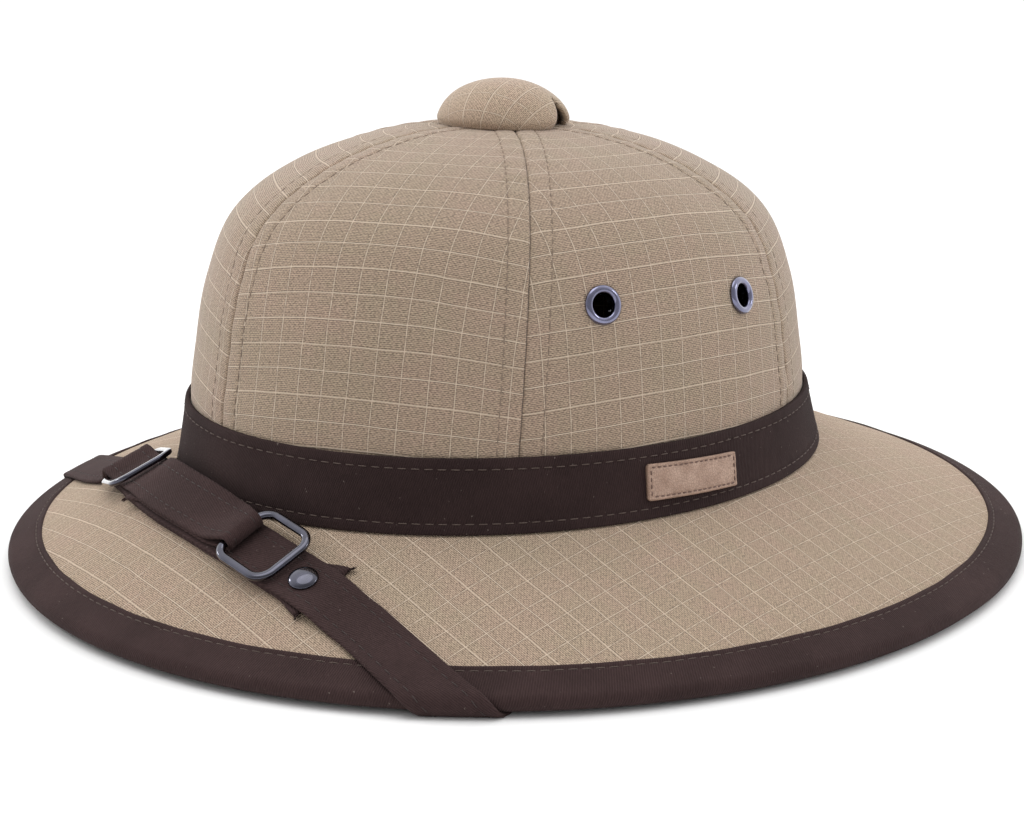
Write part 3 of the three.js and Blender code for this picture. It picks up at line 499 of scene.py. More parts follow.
def weld(thing, distance=WELD):
    """Joins points of one mesh that lie on each other."""
    reworked(thing, lambda shape: bmesh.ops.remove_doubles(shape, verts=shape.verts, dist=distance))


def seal_ends(thing):
    """Welds doubled points and fills the open ends of a tube."""
    weld(thing)

    def fill(shape):
        open_edges = [e for e in shape.edges if e.is_boundary]
        if open_edges:
            bmesh.ops.holes_fill(shape, edges=open_edges, sides=0)

    reworked(thing, fill)


def make_outward(thing):
    """Turns every face of a closed mesh outwards."""
    reworked(thing, lambda shape: bmesh.ops.recalc_face_normals(shape, faces=shape.faces))


def solid_grid(name, points, uvs=None, **closed):
    """A closed piece from a grid of points: welded where its sides meet, with its faces outwards."""
    thing = surface(name, points, uvs, **closed)
    weld(thing)
    make_outward(thing)
    return thing


def give_wall(thing, thickness):
    """Gives a cloth surface its thickness, towards the inside."""
    wall = thing.modifiers.new("Wall", "SOLIDIFY")
    wall.thickness = thickness
    wall.offset = -1
    wall.use_even_offset = True


def dress(thing, material, slot, *nodes):
    """Gives a piece its material, lets it ride on the body and stand for its CAD nodes. The slot is not used.
    """
    thing.data.materials.clear()
    thing.data.materials.append(material)
    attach(thing, "root")
    if nodes:
        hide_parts(*nodes)


def turned(name, profile, origin, axis, segments=64, closed=True):
    """Turned metal piece: a profile of (radius, height) carried round the axis through the origin. A closed
    profile is a ring; an open one starts and ends on the axis."""
    r, h = np.array(profile, float).T
    axis = unit(np.asarray(axis, float))
    helper = np.array([0.0, 0.0, 1.0]) if abs(axis[2]) < 0.9 else np.array([1.0, 0.0, 0.0])
    a = unit(np.cross(helper, axis))
    b = np.cross(axis, a)
    turn = np.linspace(0, 2 * math.pi, segments, endpoint=False)
    ring = np.cos(turn)[:, None] * a + np.sin(turn)[:, None] * b
    points = np.asarray(origin) + r[:, None, None] * ring + h[:, None, None] * axis
    return solid_grid(name, points, closed_rows=closed, closed_columns=True)


def rods(middle, side, up, thick, corners):
    """Points and faces of many small rods at once: each rod is a row of middle points, with a ring of points
    at its own thickness round each, and `side` and `up` across it."""
    count, rings = middle.shape[:2]
    turn = np.arange(corners) * 2 * math.pi / corners
    ring = np.cos(turn)[:, None] * side[:, :, None] + np.sin(turn)[:, None] * up[:, :, None]
    points = middle[:, :, None] + thick[None, :, None, None] * ring
    one = grid_faces(rings, corners, closed_columns=True)
    faces = (one[None] + (np.arange(count) * rings * corners)[:, None, None]).reshape(-1, 4)
    return points.reshape(-1, 3), faces


def stitch_row(path, normals, length, gap, radius, sink):
    """Stitches along a line of points: short rods with pointed ends that dip into the cloth at both ends.
    Each rod has 5 rings of 6 points. Returns points and faces."""
    far = run(path)
    count = max(1, int((far[-1] - length) // (length + gap)) + 1)
    starts = np.arange(count) * (length + gap) + 0.5 * gap
    ring = np.array([0.0, 0.12, 0.5, 0.88, 1.0])
    thick = np.array([0.35, 0.9, 1.0, 0.9, 0.35]) * radius
    dip = np.array([-0.9, 0.15, 0.55, 0.15, -0.9]) * radius - sink
    where = starts[:, None] + ring[None] * length
    middle = read_columns(where, far, path)
    up = unit(read_columns(where, far, normals))
    along = unit(middle[:, -1:] - middle[:, :1])
    side = unit(np.cross(along, up))
    return rods(middle + up * dip[None, :, None], side, up, thick, 6)


def sew(name, lines, colour, slot, gap, sink, length=None, radius=0.17):
    """One piece of all stitches along several lines. Each line is a pair of points and normals."""
    length = length or sizes().stitch_length * 1000
    points = []
    faces = []
    count = 0
    for path, normals in lines:
        p, f = stitch_row(path, normals, length, gap, radius, sink)
        points.append(p)
        faces.append(f + count)
        count += len(p)
    rows = put_mesh(name, settled(np.concatenate(points)), np.concatenate(faces)[:, ::-1])
    dress(rows, finish_named(colour, thread, THREADS[colour]), slot)


# Finishes


class Nodes:
    """Short ways to add shader nodes to one material."""

    def __init__(self, name):
        self.material = bpy.data.materials.new(name)
        self.material.use_nodes = True
        self.tree = self.material.node_tree
        self.shader = self.tree.nodes["Principled BSDF"]

    def add(self, kind, **values):
        node = self.tree.nodes.new(kind)
        for key, value in values.items():
            setattr(node, key, value)
        return node

    def link(self, start, end):
        self.tree.links.new(start, end)

    def feed(self, socket, value):
        if isinstance(value, (int, float, tuple)):
            socket.default_value = value
        else:
            self.link(value, socket)

    def math(self, operation, a, b=0.0, c=0.0):
        node = self.add("ShaderNodeMath", operation=operation)
        for socket, value in zip(node.inputs, (a, b, c)):
            self.feed(socket, value)
        return node.outputs[0]

    def plus(self, a, b):
        return self.math("ADD", a, b)

    def minus(self, a, b):
        return self.math("SUBTRACT", a, b)

    def times(self, a, b):
        return self.math("MULTIPLY", a, b)

    def most(self, a, b):
        return self.math("MAXIMUM", a, b)

    def wave(self, value, length):
        return self.math("SINE", self.times(value, 2 * math.pi / length))

    def dimmed(self, colour, share):
        return self.blend(1.0, colour, self.join(share, share, share), "MULTIPLY")

    def shade(self, values):
        """Feeds inputs of the shader by their names."""
        for name, value in values.items():
            self.feed(self.shader.inputs[name], value)

    def blend(self, share, a, b, mode="MIX"):
        node = self.add("ShaderNodeMix", data_type="RGBA", blend_type=mode)
        self.feed(node.inputs[0], share)
        self.feed(node.inputs[6], a)
        self.feed(node.inputs[7], b)
        return node.outputs[2]

    def band(self, value, low, high, to_low=0.0, to_high=1.0):
        node = self.add("ShaderNodeMapRange", interpolation_type="SMOOTHSTEP")
        self.feed(node.inputs[0], value)
        for k, number in enumerate((low, high, to_low, to_high)):
            node.inputs[k + 1].default_value = number
        return node.outputs[0]

    def noise(self, vector, scale, detail=3.0, rough=0.5, dimensions="3D"):
        node = self.add("ShaderNodeTexNoise", noise_dimensions=dimensions)
        self.feed(node.inputs["Vector"], vector)
        node.inputs["Scale"].default_value = scale
        node.inputs["Detail"].default_value = detail
        node.inputs["Roughness"].default_value = rough
        return node.outputs["Fac"]

    def uv(self, name):
        split = self.add("ShaderNodeSeparateXYZ")
        source = self.add("ShaderNodeUVMap", uv_map=name)
        self.link(source.outputs[0], split.inputs[0])
        return split.outputs[0], split.outputs[1]

    def join(self, x, y, z=0.0):
        node = self.add("ShaderNodeCombineXYZ")
        for socket, value in zip(node.inputs, (x, y, z)):
            self.feed(socket, value)
        return node.outputs[0]

    def place(self):
        return self.add("ShaderNodeTexCoord").outputs["Object"]

    def relief(self, height, distance, strength=1.0, under=None):
        node = self.add("ShaderNodeBump")
        node.inputs["Strength"].default_value = strength
        node.inputs["Distance"].default_value = distance
        self.link(height, node.inputs["Height"])
        if under is not None:
            self.link(under, node.inputs["Normal"])
        return node.outputs[0]


def wobbled(n, value, scale, amount, place):
    """A uv value that wanders a little, as woven threads do."""
    return n.plus(value, n.times(n.minus(n.noise(place, scale, 2.0), 0.5), amount))


def thread_lines(n, value, pitch, half_width):
    """1 on the thick threads that return at every pitch, 0 between them."""
    away = n.math("ABSOLUTE", n.minus(n.math("FRACT", n.math("DIVIDE", value, pitch)), 0.5))
    edge = half_width / pitch
    return n.band(away, 0.5 - edge, 0.5 - 0.35 * edge)


def cell_number(n, value, pitch):
    """Number of the grid's cell in which a uv value lies."""
    return n.math("FLOOR", n.plus(n.math("DIVIDE", value, pitch), 0.5))


def scaled(colour, scale):
    """A colour with each channel multiplied by its own number, up to 1, and full cover."""
    return tuple(min(1.0, c * k) for c, k in zip(colour, scale)) + (1.0,)


def ripstop(name, painted_light_scale=(1.0, 1.0, 1.0), sheen=0.18):
    """Sand ripstop cloth: fine cross ribs, a grid of thick pale threads, and faint uneven dye."""
    look = finish()
    n = Nodes(name)
    x, y = n.uv("weave")
    place = n.place()
    x = wobbled(n, x, 55.0, 0.0011, place)
    y = wobbled(n, y, 48.0, 0.0009, place)
    # Thick threads, the gaps beside them, and breaks in the upright ones
    upright = thread_lines(n, x, look.grid_across, 0.00023)
    level = thread_lines(n, y, look.grid_up, 0.00024)
    gaps = n.most(thread_lines(n, x, look.grid_across, 0.00062), thread_lines(n, y, look.grid_up, 0.0006))
    broken = n.band(n.noise(n.join(n.times(x, 0.25), y), 620.0, 2.0), 0.3, 0.6, 0.35, 1.0)
    upright = n.times(upright, n.times(broken, 0.88))
    grid = n.most(upright, n.times(level, 0.95))
    # Fine ribs with a speckle of uneven yarn
    turned_rib = n.times(n.wave(x, 2 * RIPSTOP_RIB), n.wave(y, 2 * RIPSTOP_RIB))
    speckle = n.noise(n.join(n.times(x, 0.62), y), 2000.0, 1.0, 0.5)
    weave = n.plus(n.times(n.wave(y, RIPSTOP_RIB), 0.46), n.times(turned_rib, 0.26))
    weave = n.plus(weave, n.times(n.minus(speckle, 0.5), 2.0))
    # Each cell and each cloud of the cloth is a little redder or greener
    cell = n.add("ShaderNodeTexWhiteNoise", noise_dimensions="2D")
    corner = n.join(cell_number(n, x, look.grid_across), cell_number(n, y, look.grid_up))
    n.link(corner, cell.inputs["Vector"])
    # This scale makes paler copies of the same cloth for the brim and the cap: painted light.
    base = scaled(look.cloth_colour, painted_light_scale)
    rosy = scaled(base, (1.03, 0.99, 0.99))
    olive = scaled(base, (0.98, 1.0, 0.96))
    mottle = n.band(n.noise(place, 38.0, 3.0, 0.6), 0.35, 0.65)
    colour = n.blend(0.5, n.blend(cell.outputs["Value"], olive, rosy), n.blend(mottle, olive, rosy))
    shade = n.times(n.band(weave, -0.95, 0.95, 0.42, 1.50), n.minus(1.0, n.times(gaps, 0.16)))
    colour = n.blend(n.times(grid, 0.75), n.dimmed(colour, shade), tuple(look.grid_colour) + (1.0,))
    slack = n.relief(n.noise(place, 95.0, 3.0, 0.55), 0.0007, 0.45)
    n.shade({
        "Base Color": colour,
        "Roughness": 0.88,
        "Specular IOR Level": 0.25,
        "Sheen Weight": sheen,
        "Sheen Roughness": 0.45,
        "Sheen Tint": (0.9, 0.93, 1.0, 1.0),
        "Normal": n.relief(n.plus(n.times(weave, 0.35), grid), 0.00022, 0.8, slack),
    })
    return n.material


def twill(name, lift=1.0):
    """Dark brown twill tape: fine slanting ribs, a dry sheen and a few specks of lint."""
    look = finish()
    n = Nodes(name)
    x, y = n.uv("weave")
    place = n.place()
    rib = n.wave(n.plus(x, n.times(y, 0.32)), TWILL_RIB)
    pick = n.noise(n.join(x, n.times(y, 0.3)), 1700.0, 2.0, 0.6)
    weave = n.plus(n.times(rib, 0.5), n.times(n.minus(pick, 0.5), 1.6))
    base = scaled(look.twill_colour, (lift,) * 3)
    deep = scaled(base, (0.78,) * 3)
    colour = n.blend(n.band(n.noise(place, 42.0, 3.0, 0.6), 0.35, 0.68), deep, base)
    colour = n.dimmed(colour, n.band(weave, -1.1, 1.1, 0.72, 1.30))
    lint = n.band(n.noise(place, 900.0, 1.0, 0.5), 0.765, 0.80)
    slack = n.relief(n.noise(place, 130.0, 2.0, 0.5), 0.0005, 0.4)
    n.shade({
        "Base Color": n.blend(n.times(lint, 0.35), colour, (0.30, 0.25, 0.22, 1.0)),
        "Roughness": 0.9,
        "Specular IOR Level": 0.1,
        "Sheen Weight": 0.025,
        "Sheen Roughness": 0.5,
        "Sheen Tint": (1.0, 0.9, 0.86, 1.0),
        "Normal": n.relief(weave, 0.00012, 0.8, slack),
    })
    return n.material


def thread(name, colour):
    """Sewing thread: a fine twist across its length."""
    n = Nodes(name)
    tone = n.noise(n.place(), 2200.0, 2.0)
    n.shade({
        "Base Color": n.blend(tone, scaled(colour, (0.72,) * 3), tuple(colour) + (1.0,)),
        "Roughness": 0.75,
        "Normal": n.relief(tone, 0.00008, 0.6),
    })
    return n.material


def gunmetal(name, lift=1.0):
    """Dark polished metal with a blue cast, faint waves from casting and fine scratches."""
    look = finish()
    n = Nodes(name)
    place = n.place()
    base = scaled(look.metal_colour, (lift,) * 3)
    pale = scaled(base, (1.6,) * 3)
    tone = n.band(n.noise(place, 160.0, 3.0, 0.6), 0.3, 0.7)
    n.shade({
        "Metallic": 1.0,
        "Base Color": n.blend(tone, base, pale),
        "Roughness": n.band(n.noise(place, 500.0, 3.0), 0.2, 0.8, 0.10, 0.22),
        "Coat Weight": 1.0,
        "Coat Roughness": 0.05,
        "Coat IOR": 1.5,
        "Normal": n.relief(n.noise(place, 240.0, 2.0), 0.00012, 0.35),
    })
    return n.material


def leather(name):
    """Tan leather with pores, soft mottling and darker edges."""
    look = finish()
    n = Nodes(name)
    x, y = n.uv("weave")
    place = n.place()
    pores = n.add("ShaderNodeTexVoronoi", feature="DISTANCE_TO_EDGE")
    n.link(place, pores.inputs["Vector"])
    pores.inputs["Scale"].default_value = 1300.0
    grain = n.band(pores.outputs["Distance"], 0.0, 0.16)
    cloudy = n.noise(place, 170.0, 4.0, 0.62)
    base = tuple(look.leather_colour) + (1.0,)
    deep = scaled(base, (0.72, 0.66, 0.62))
    colour = n.blend(n.band(cloudy, 0.3, 0.7), deep, base)
    # The patch is drawn darker along all four of its edges.
    side_edges = n.band(n.math("ABSOLUTE", x), 0.0152, 0.0166)
    long_edges = n.band(n.math("ABSOLUTE", y), 0.0040, 0.0052)
    colour = n.blend(n.times(n.most(side_edges, long_edges), 0.5), colour, deep)
    n.shade({
        "Base Color": n.dimmed(colour, n.band(grain, 0.0, 1.0, 0.82, 1.05)),
        "Roughness": n.band(cloudy, 0.2, 0.8, 0.5, 0.68),
        "Normal": n.relief(grain, 0.00012, 0.6, n.relief(cloudy, 0.0004, 0.5)),
    })
    return n.material


def finish_named(name, maker, *values):
    """The material of that name, made the first time that it is asked for."""
    return bpy.data.materials.get(name) or maker(name, *values)


# Crown


def seam_around(index, up):
    """Place of a seam round the crown: an even sixth, and on the two front side seams a slow bow."""
    up = np.asarray(up, float)
    share = up / 90
    bow = SEAM_BOW[0] * (1 - share) + SEAM_BOW[1] * np.sin(2 * radians(up)) + SEAM_BOW[2] * share
    sign = {1: 1.0, 5: -1.0}.get(index, 0.0)
    return 60.0 * index + sign * bow


def crown_level(around, level):
    """Outer point at a level: degrees up the crown when positive, and from 0 to -1 the flare under the
    band."""
    under = np.clip(-level, 0, 1)
    low = foot_line(around, under * band_flare(around), under * band_foot(around))
    return np.where((level >= 0)[..., None], crown_surface(around, np.maximum(level, 0)), low)


def crown_ring(around, reach):
    """Degrees up the crown at which it comes within a plan distance of its top's middle."""
    top = crown_surface(0.0, 90.0)

    def outside(level):
        p = crown_surface(around, level)
        return np.hypot(p[..., 0] - top[0], p[..., 1] - top[1]) > reach

    return halved(np.shape(around), 40.0, 90.0, 32, outside)


def gore_columns():
    """Shares across a gore, close together by the seams."""
    near = np.concatenate([np.linspace(0, 0.02, 8), np.linspace(0.025, 0.13, 18)])
    middle = np.linspace(0.145, 0.855, 62)
    return np.concatenate([near, middle, 1 - near[::-1]])


def gore_grid(index):
    """Outer surface of one gore with its seam grooves, and where each point lies in the cloth.
    Rows go from under the band to the vent hole; columns go from seam to seam."""
    share = gore_columns()[None, :]
    levels = np.concatenate([[-1.0, -0.6, -0.3, -0.1], np.linspace(0, 1, 110)])[:, None]
    below = levels < 0
    spread = np.where(below, 0.0, levels)
    guess = seam_around(index, 40 * spread) * (1 - share) + seam_around(index + 1, 40 * spread) * share
    top = crown_ring(guess, VENT_RADIUS)
    level = np.where(below, levels, spread * top)
    seam_level = np.maximum(level, 0)
    around = seam_around(index, seam_level) * (1 - share) + seam_around(index + 1, seam_level) * share
    points = crown_level(around, level)
    # Cloth place: across from the gore's middle line, and up along it
    across = run(points.swapaxes(0, 1)).T
    width = across[:, -1:]
    from_middle = across - width / 2
    up = run(points)
    middle_up = up[:, points.shape[1] // 2][:, None]
    # A level line of the crown is a bowl in the flat cloth, whose sides rise by the square of the distance
    bowl = BOWL_FRONT if index in (0, 5) else BOWL_SIDE
    laid_up = middle_up + from_middle**2 * (bowl[0] + bowl[1] * np.clip(middle_up / 90.0, 0, 1))
    near_seam = np.minimum(across, width - across)
    return points, from_middle, laid_up, near_seam, up


def crown_relief(near_seam, up, phase):
    """Height of the worked cloth over the plain shell: a groove at the seam, the doubled margin beside it, a
    dimpled line at the stitches, and slow slack in the panel."""
    depth = sizes().seam_depth * 1000
    margin = sizes().seam_margin * 1000
    groove = -depth * np.exp(-((near_seam / 0.38) ** 1.2)) - 0.16 * bump(near_seam, 0.0, 1.8)
    doubled = 0.24 * (1 - eased(near_seam, margin - 0.3, margin + 1.6))
    stitched = -0.30 * bump(near_seam, margin, 0.5)
    wander = np.sin(up * 2 * math.pi / 9.3 + phase + 1.7 * np.sin(up / 17.0))
    pucker = 0.13 * wander * bump(near_seam, margin * 0.5, 5.0)
    slack = 0.22 * np.sin(up / 11.0 + phase * 2.1) * np.sin(near_seam / 9.0 + phase)
    return groove + doubled + stitched + pucker + slack * eased(near_seam, 3, 14)


class BuildCrown(bpy.types.Operator):
    """Six gores of ripstop cloth with grooved seams and twin rows of stitches"""

    bl_idname = "hat.crown"
    bl_label = "Crown"

    NODES = (
        "crown_panel_front_left", "crown_panel_side_left", "crown_panel_back_left",
        "crown_panel_back_right", "crown_panel_side_right", "crown_panel_front_right",
    )

    def execute(self, context):
        cloth = finish_named("Sand ripstop", ripstop)
        margin = sizes().seam_margin * 1000
        rows = []
        for index, node in enumerate(self.NODES):
            points, across, laid_up, near_seam, up = gore_grid(index)
            normals = -grid_normals(points)
            outward = np.sign(np.sum(normals[40, 30] * points[40, 30]))
            normals = normals * outward
            worked = points + normals * crown_relief(near_seam, up, index * 1.3)[..., None]
            weave = np.stack([across + 2.1, laid_up + 0.9 * index], -1) / 1000
            cuts = [(crown_surface(around, rise), EYELET_CUT) for _, around, rise in EYELETS]
            gore = surface("Gore_" + node[12:], worked, {"weave": weave}, flip=outward > 0, cuts=cuts)
            give_wall(gore, sizes().cloth)
            dress(gore, cloth, "ripstop", node)
            rows += self.stitch_lines(worked, normals, near_seam, margin)
        sew("Crown_stitches", rows, "Sand thread", "ripstop", 0.75, 0.02)
        return {"FINISHED"}

    @staticmethod
    def stitch_lines(points, normals, near_seam, margin):
        """Lines of points at the margin's distance from each seam, read across every row of the grid."""
        found = []
        half = points.shape[1] // 2
        for part in (slice(0, half), slice(points.shape[1] - 1, half, -1)):
            distance = near_seam[:, part]
            place = points[:, part]
            facing = normals[:, part]
            keep = np.arange(4, len(points) - 3)
            k = np.argmax(distance >= margin, axis=1)
            k = np.maximum(k, 1)
            r = np.arange(len(points))
            d0 = distance[r, k - 1]
            d1 = distance[r, k]
            s = ((margin - d0) / np.maximum(d1 - d0, 1e-6))[:, None]
            line = place[r, k - 1] * (1 - s) + place[r, k] * s
            face = facing[r, k - 1] * (1 - s) + facing[r, k] * s
            wide = distance.max(axis=1) > margin + 1.0
            keep = keep[wide[keep]]
            found.append((line[keep], face[keep]))
        return found


class BuildVentCap(bpy.types.Operator):
    """Domed cloth cap over the vent hole, in two halves that leave a three-cornered mouth at each side"""

    bl_idname = "hat.vent_cap"
    bl_label = "Vent cap"

    RADIUS = 20.6
    HEIGHT = 14.0
    MOUTHS = (-60.0, 120.0)
    MOUTH_HALF = 16.0
    MOUTH_TOP = 0.62
    WALL = 0.0014
    # The two halves meet within this distance
    MEETING = 2e-5
    # Turn of the cloth's grid against the hat's front
    BIAS = 64.0

    def half_dome(self, start, end):
        """Half of the cap: columns run between the two mouths' edges, which close in to a point at the
        mouth's top; rows rise as the sine and close in as a power of the cosine of the same angle."""
        top = crown_surface(0.0, 90.0)
        rise = np.linspace(0, 1, 42)[:, None]
        share = np.linspace(0, 1, 90)[None, :]
        lift = np.sin(rise * math.pi / 2)
        spread = np.cos(rise * math.pi / 2)
        open_half = self.MOUTH_HALF * np.clip(1 - lift / self.MOUTH_TOP, 0, 1) ** 0.85
        turn = (start + open_half) * (1 - share) + (end - open_half) * share
        a = radians(turn)
        tuck = 1.0 - 0.05 * bump(lift, 0.0, 0.10)
        by_mouth = bump(turn, start + open_half, 3.0) + bump(turn, end - open_half, 3.0)
        lip = 1.0 - 0.035 * by_mouth * (lift < self.MOUTH_TOP)
        crease = 0.25 * np.sin(3 * a + 0.6) * np.sin(lift * 5)
        r = (self.RADIUS + crease) * spread * tuck * lip
        foot = self.crown_height(self.RADIUS * np.sin(a), -self.RADIUS * np.cos(a)) + 0.15
        z = foot * (1 - lift) + (top[2] + self.HEIGHT) * lift
        points = np.stack([r * np.sin(a), top[1] - r * np.cos(a), z], -1)
        return points, turn, lift

    @staticmethod
    def crown_height(x, y):
        """Height of the crown near its top at plan offsets from the top's middle."""
        around = np.degrees(np.arctan2(x / CROWN_HALF_WIDTH, -y / CROWN_HALF_LENGTH))
        return crown_surface(around, crown_ring(around, np.hypot(x, y)))[..., 2]

    def execute(self, context):
        # The cap's cloth is drawn 18 per cent paler than the crown's: painted light on the cap.
        cloth = finish_named("Sand ripstop cap", ripstop, (1.18, 1.18, 1.17))
        grids = []
        uvs = []
        for start, end in ((self.MOUTHS[0], self.MOUTHS[1]), (self.MOUTHS[1], self.MOUTHS[0] + 360)):
            points, turn, lift = self.half_dome(start, end)
            angle = np.arcsin(np.clip(lift, 0, 1))
            arc = (math.pi / 2 - angle) * (self.RADIUS + self.HEIGHT) / 2
            bias = radians(turn + self.BIAS)
            uvs.append(np.stack([arc * np.sin(bias) + 2.0, arc * np.cos(bias) + 3.1], -1) / 1000)
            grids.append(points)
        rows, columns = grids[0].shape[:2]
        faces = np.concatenate([grid_faces(rows, columns), grid_faces(rows, columns, first=rows * columns)])
        flat = np.concatenate([settled(g).reshape(-1, 3) for g in grids])
        laid = np.concatenate([u.reshape(-1, 2) for u in uvs])
        cap = put_mesh("Vent_cap_dome", flat, faces[:, ::-1], {"weave": laid})
        weld(cap, self.MEETING)
        inside = settled(crown_surface(0.0, 90.0)) - np.array([0, 0, 0.004])
        face_away(cap, inside)
        give_wall(cap, self.WALL)
        dress(cap, cloth, "ripstop", "vent_cap")
        return {"FINISHED"}


def face_away(thing, centre):
    """Turns an open shell so that its faces look away from a point."""
    mesh = thing.data
    normals = np.empty(len(mesh.polygons) * 3, np.float32)
    middles = np.empty(len(mesh.polygons) * 3, np.float32)
    mesh.polygons.foreach_get("normal", normals)
    mesh.polygons.foreach_get("center", middles)
    away = np.sum(normals.reshape(-1, 3) * (middles.reshape(-1, 3) - np.asarray(centre)))
    if away < 0:
        mesh.flip_normals()
        mesh.update()


class BuildBand(bpy.types.Operator):
    """Dark twill band round the foot of the crown, with a row of stitches near each edge"""

    bl_idname = "hat.band"
    bl_label = "Hat band"

    STITCH_TOP = 3.1
    STITCH_FOOT = 3.0
    # Radius of its folded edges, how far its outside starts inside the foot line, and its clearance inside
    FOLD = 0.6
    SET_IN = 1.06
    CLEAR = 0.3
    # Mean radius of the band, by which its cloth runs on round the hat
    GIRTH_RADIUS = 98.0

    def execute(self, context):
        steps = context.scene.hat_stage.segments
        around = np.linspace(0, 360, steps + 1)[None, :]
        drop = -band_foot(around)
        height = np.hypot(drop, BAND_FLARE)
        # The section goes down the outside and back up the inside; the first part is the outside
        down = np.concatenate([[0.0, 0.008, 0.02], np.linspace(0.04, 0.96, 54), [0.98, 0.992, 1.0]])[:, None]
        far = down * height
        up = height - far
        body = 0.75 + 0.35 * edge_round(far, self.FOLD) * edge_round(up, self.FOLD)
        wave = 0.16 * np.sin(radians(around) * 9 + 2 * np.sin(radians(around) * 4)) * bump(far, 0.0, 5.0)
        pulled = -0.28 * bump(far, self.STITCH_TOP, 0.5) - 0.28 * bump(up, self.STITCH_FOOT, 0.5)
        hem = 0.16 * (1 - eased(far, self.STITCH_TOP - 0.2, self.STITCH_TOP + 1.2))
        hem = hem + 0.16 * (1 - eased(up, self.STITCH_FOOT - 0.2, self.STITCH_FOOT + 1.2))
        by_stitches = bump(far, self.STITCH_TOP, 1.6) + bump(up, self.STITCH_FOOT, 1.6)
        pucker = 0.05 * np.sin(radians(around) * 110) * by_stitches
        flare = band_flare(around)
        reach = BAND_REACH - self.SET_IN + down * flare + body + wave + pulled + hem + pucker
        outer = foot_line(around, reach, -down * drop)
        inner = foot_line(around, self.CLEAR + down[::-1] * flare, -down[::-1] * drop)
        outer[..., 2] += 0.15 - 0.1 * down
        points = np.concatenate([outer, inner, outer[:1]], 0)
        girth = radians(around) * self.GIRTH_RADIUS
        across = np.concatenate([far, far[::-1], far[:1]], 0)
        weave = np.stack([girth + 0 * across, across], -1) / 1000
        band = solid_grid("Band_tape", points, {"weave": weave})
        # The band's twill is drawn at 0.74 of the tape's colour: painted shade from the crown and brim over
        # it.
        dress(band, finish_named("Brown band twill", twill, 0.74), "twill", "hat_band")
        facing = unit(foot_line(around[0], 0, 0 * around[0]) * np.array([1, 1, 0]) + np.array([0, 0, 20.0]))
        lines = []
        for distance, goal in ((far[:, 0], self.STITCH_TOP), (up[:, 0], self.STITCH_FOOT)):
            k = int(np.argmin(np.abs(distance - goal)))
            lines.append((outer[k], facing))
        sew("Band_stitches", lines, "Brown thread", "twill", 1.0, -0.02)
        return {"FINISHED"}


def cone_weave(x, y):
    """Where a brim point lies in its cloth: the cone laid flat is a fan, whose angle is the plan angle times
    the cone's ratio and whose radius is the plan radius over it."""
    turn = np.arctan2(x, -y)
    reach = np.hypot(x, y) / CONE_RATIO
    fan = turn * CONE_RATIO
    return np.stack([reach * np.sin(fan), -reach * np.cos(fan)], -1)


class BuildBrim(bpy.types.Operator):
    """Sloping ring of ripstop cloth over a stiff core"""

    bl_idname = "hat.brim"
    bl_label = "Brim"

    def execute(self, context):
        steps = context.scene.hat_stage.segments
        around = np.linspace(0, 360, steps + 1)[None, :]
        _, edge, out, up, length = brim_frame(around)
        share = np.concatenate([[-0.10, -0.05, -0.02], np.linspace(0.005, 0.93, 60), [0.945]])[:, None]
        a = radians(around)
        swell = (
            0.35 * np.sin(2 * a + 0.7) * np.sin(share * math.pi)
            + 0.22 * np.sin(5 * a + 1.1 + 2 * share) * eased(share, 0.1, 0.6)
            + 0.12 * np.sin(11 * a + 5 * share) * np.sin(share * math.pi)
        )
        thick = sizes().brim_cloth * 1000
        sunk = -0.42 + 0.2 * swell + rim_curl(around) * eased(share, 0.5, 0.95)
        level = (share - 1) * length
        top = edge + out * level[..., None] + up * sunk[..., None]
        under = edge + out * level[::-1][..., None] + up * (sunk[::-1] - thick)[..., None]
        points = np.concatenate([top, under, top[:1]], 0)
        weave = cone_weave(points[..., 0], points[..., 1])
        weave = np.stack([weave[..., 0] + 2.3, weave[..., 1] + 1.9], -1) / 1000
        brim = solid_grid("Brim_cloth", points, {"weave": weave})
        # The brim's cloth is drawn 6 per cent paler than the crown's: painted light on the brim's upper face.
        dress(brim, finish_named("Sand ripstop brim", ripstop, (1.06, 1.06, 1.06), 0.04), "ripstop", "brim")
        return {"FINISHED"}


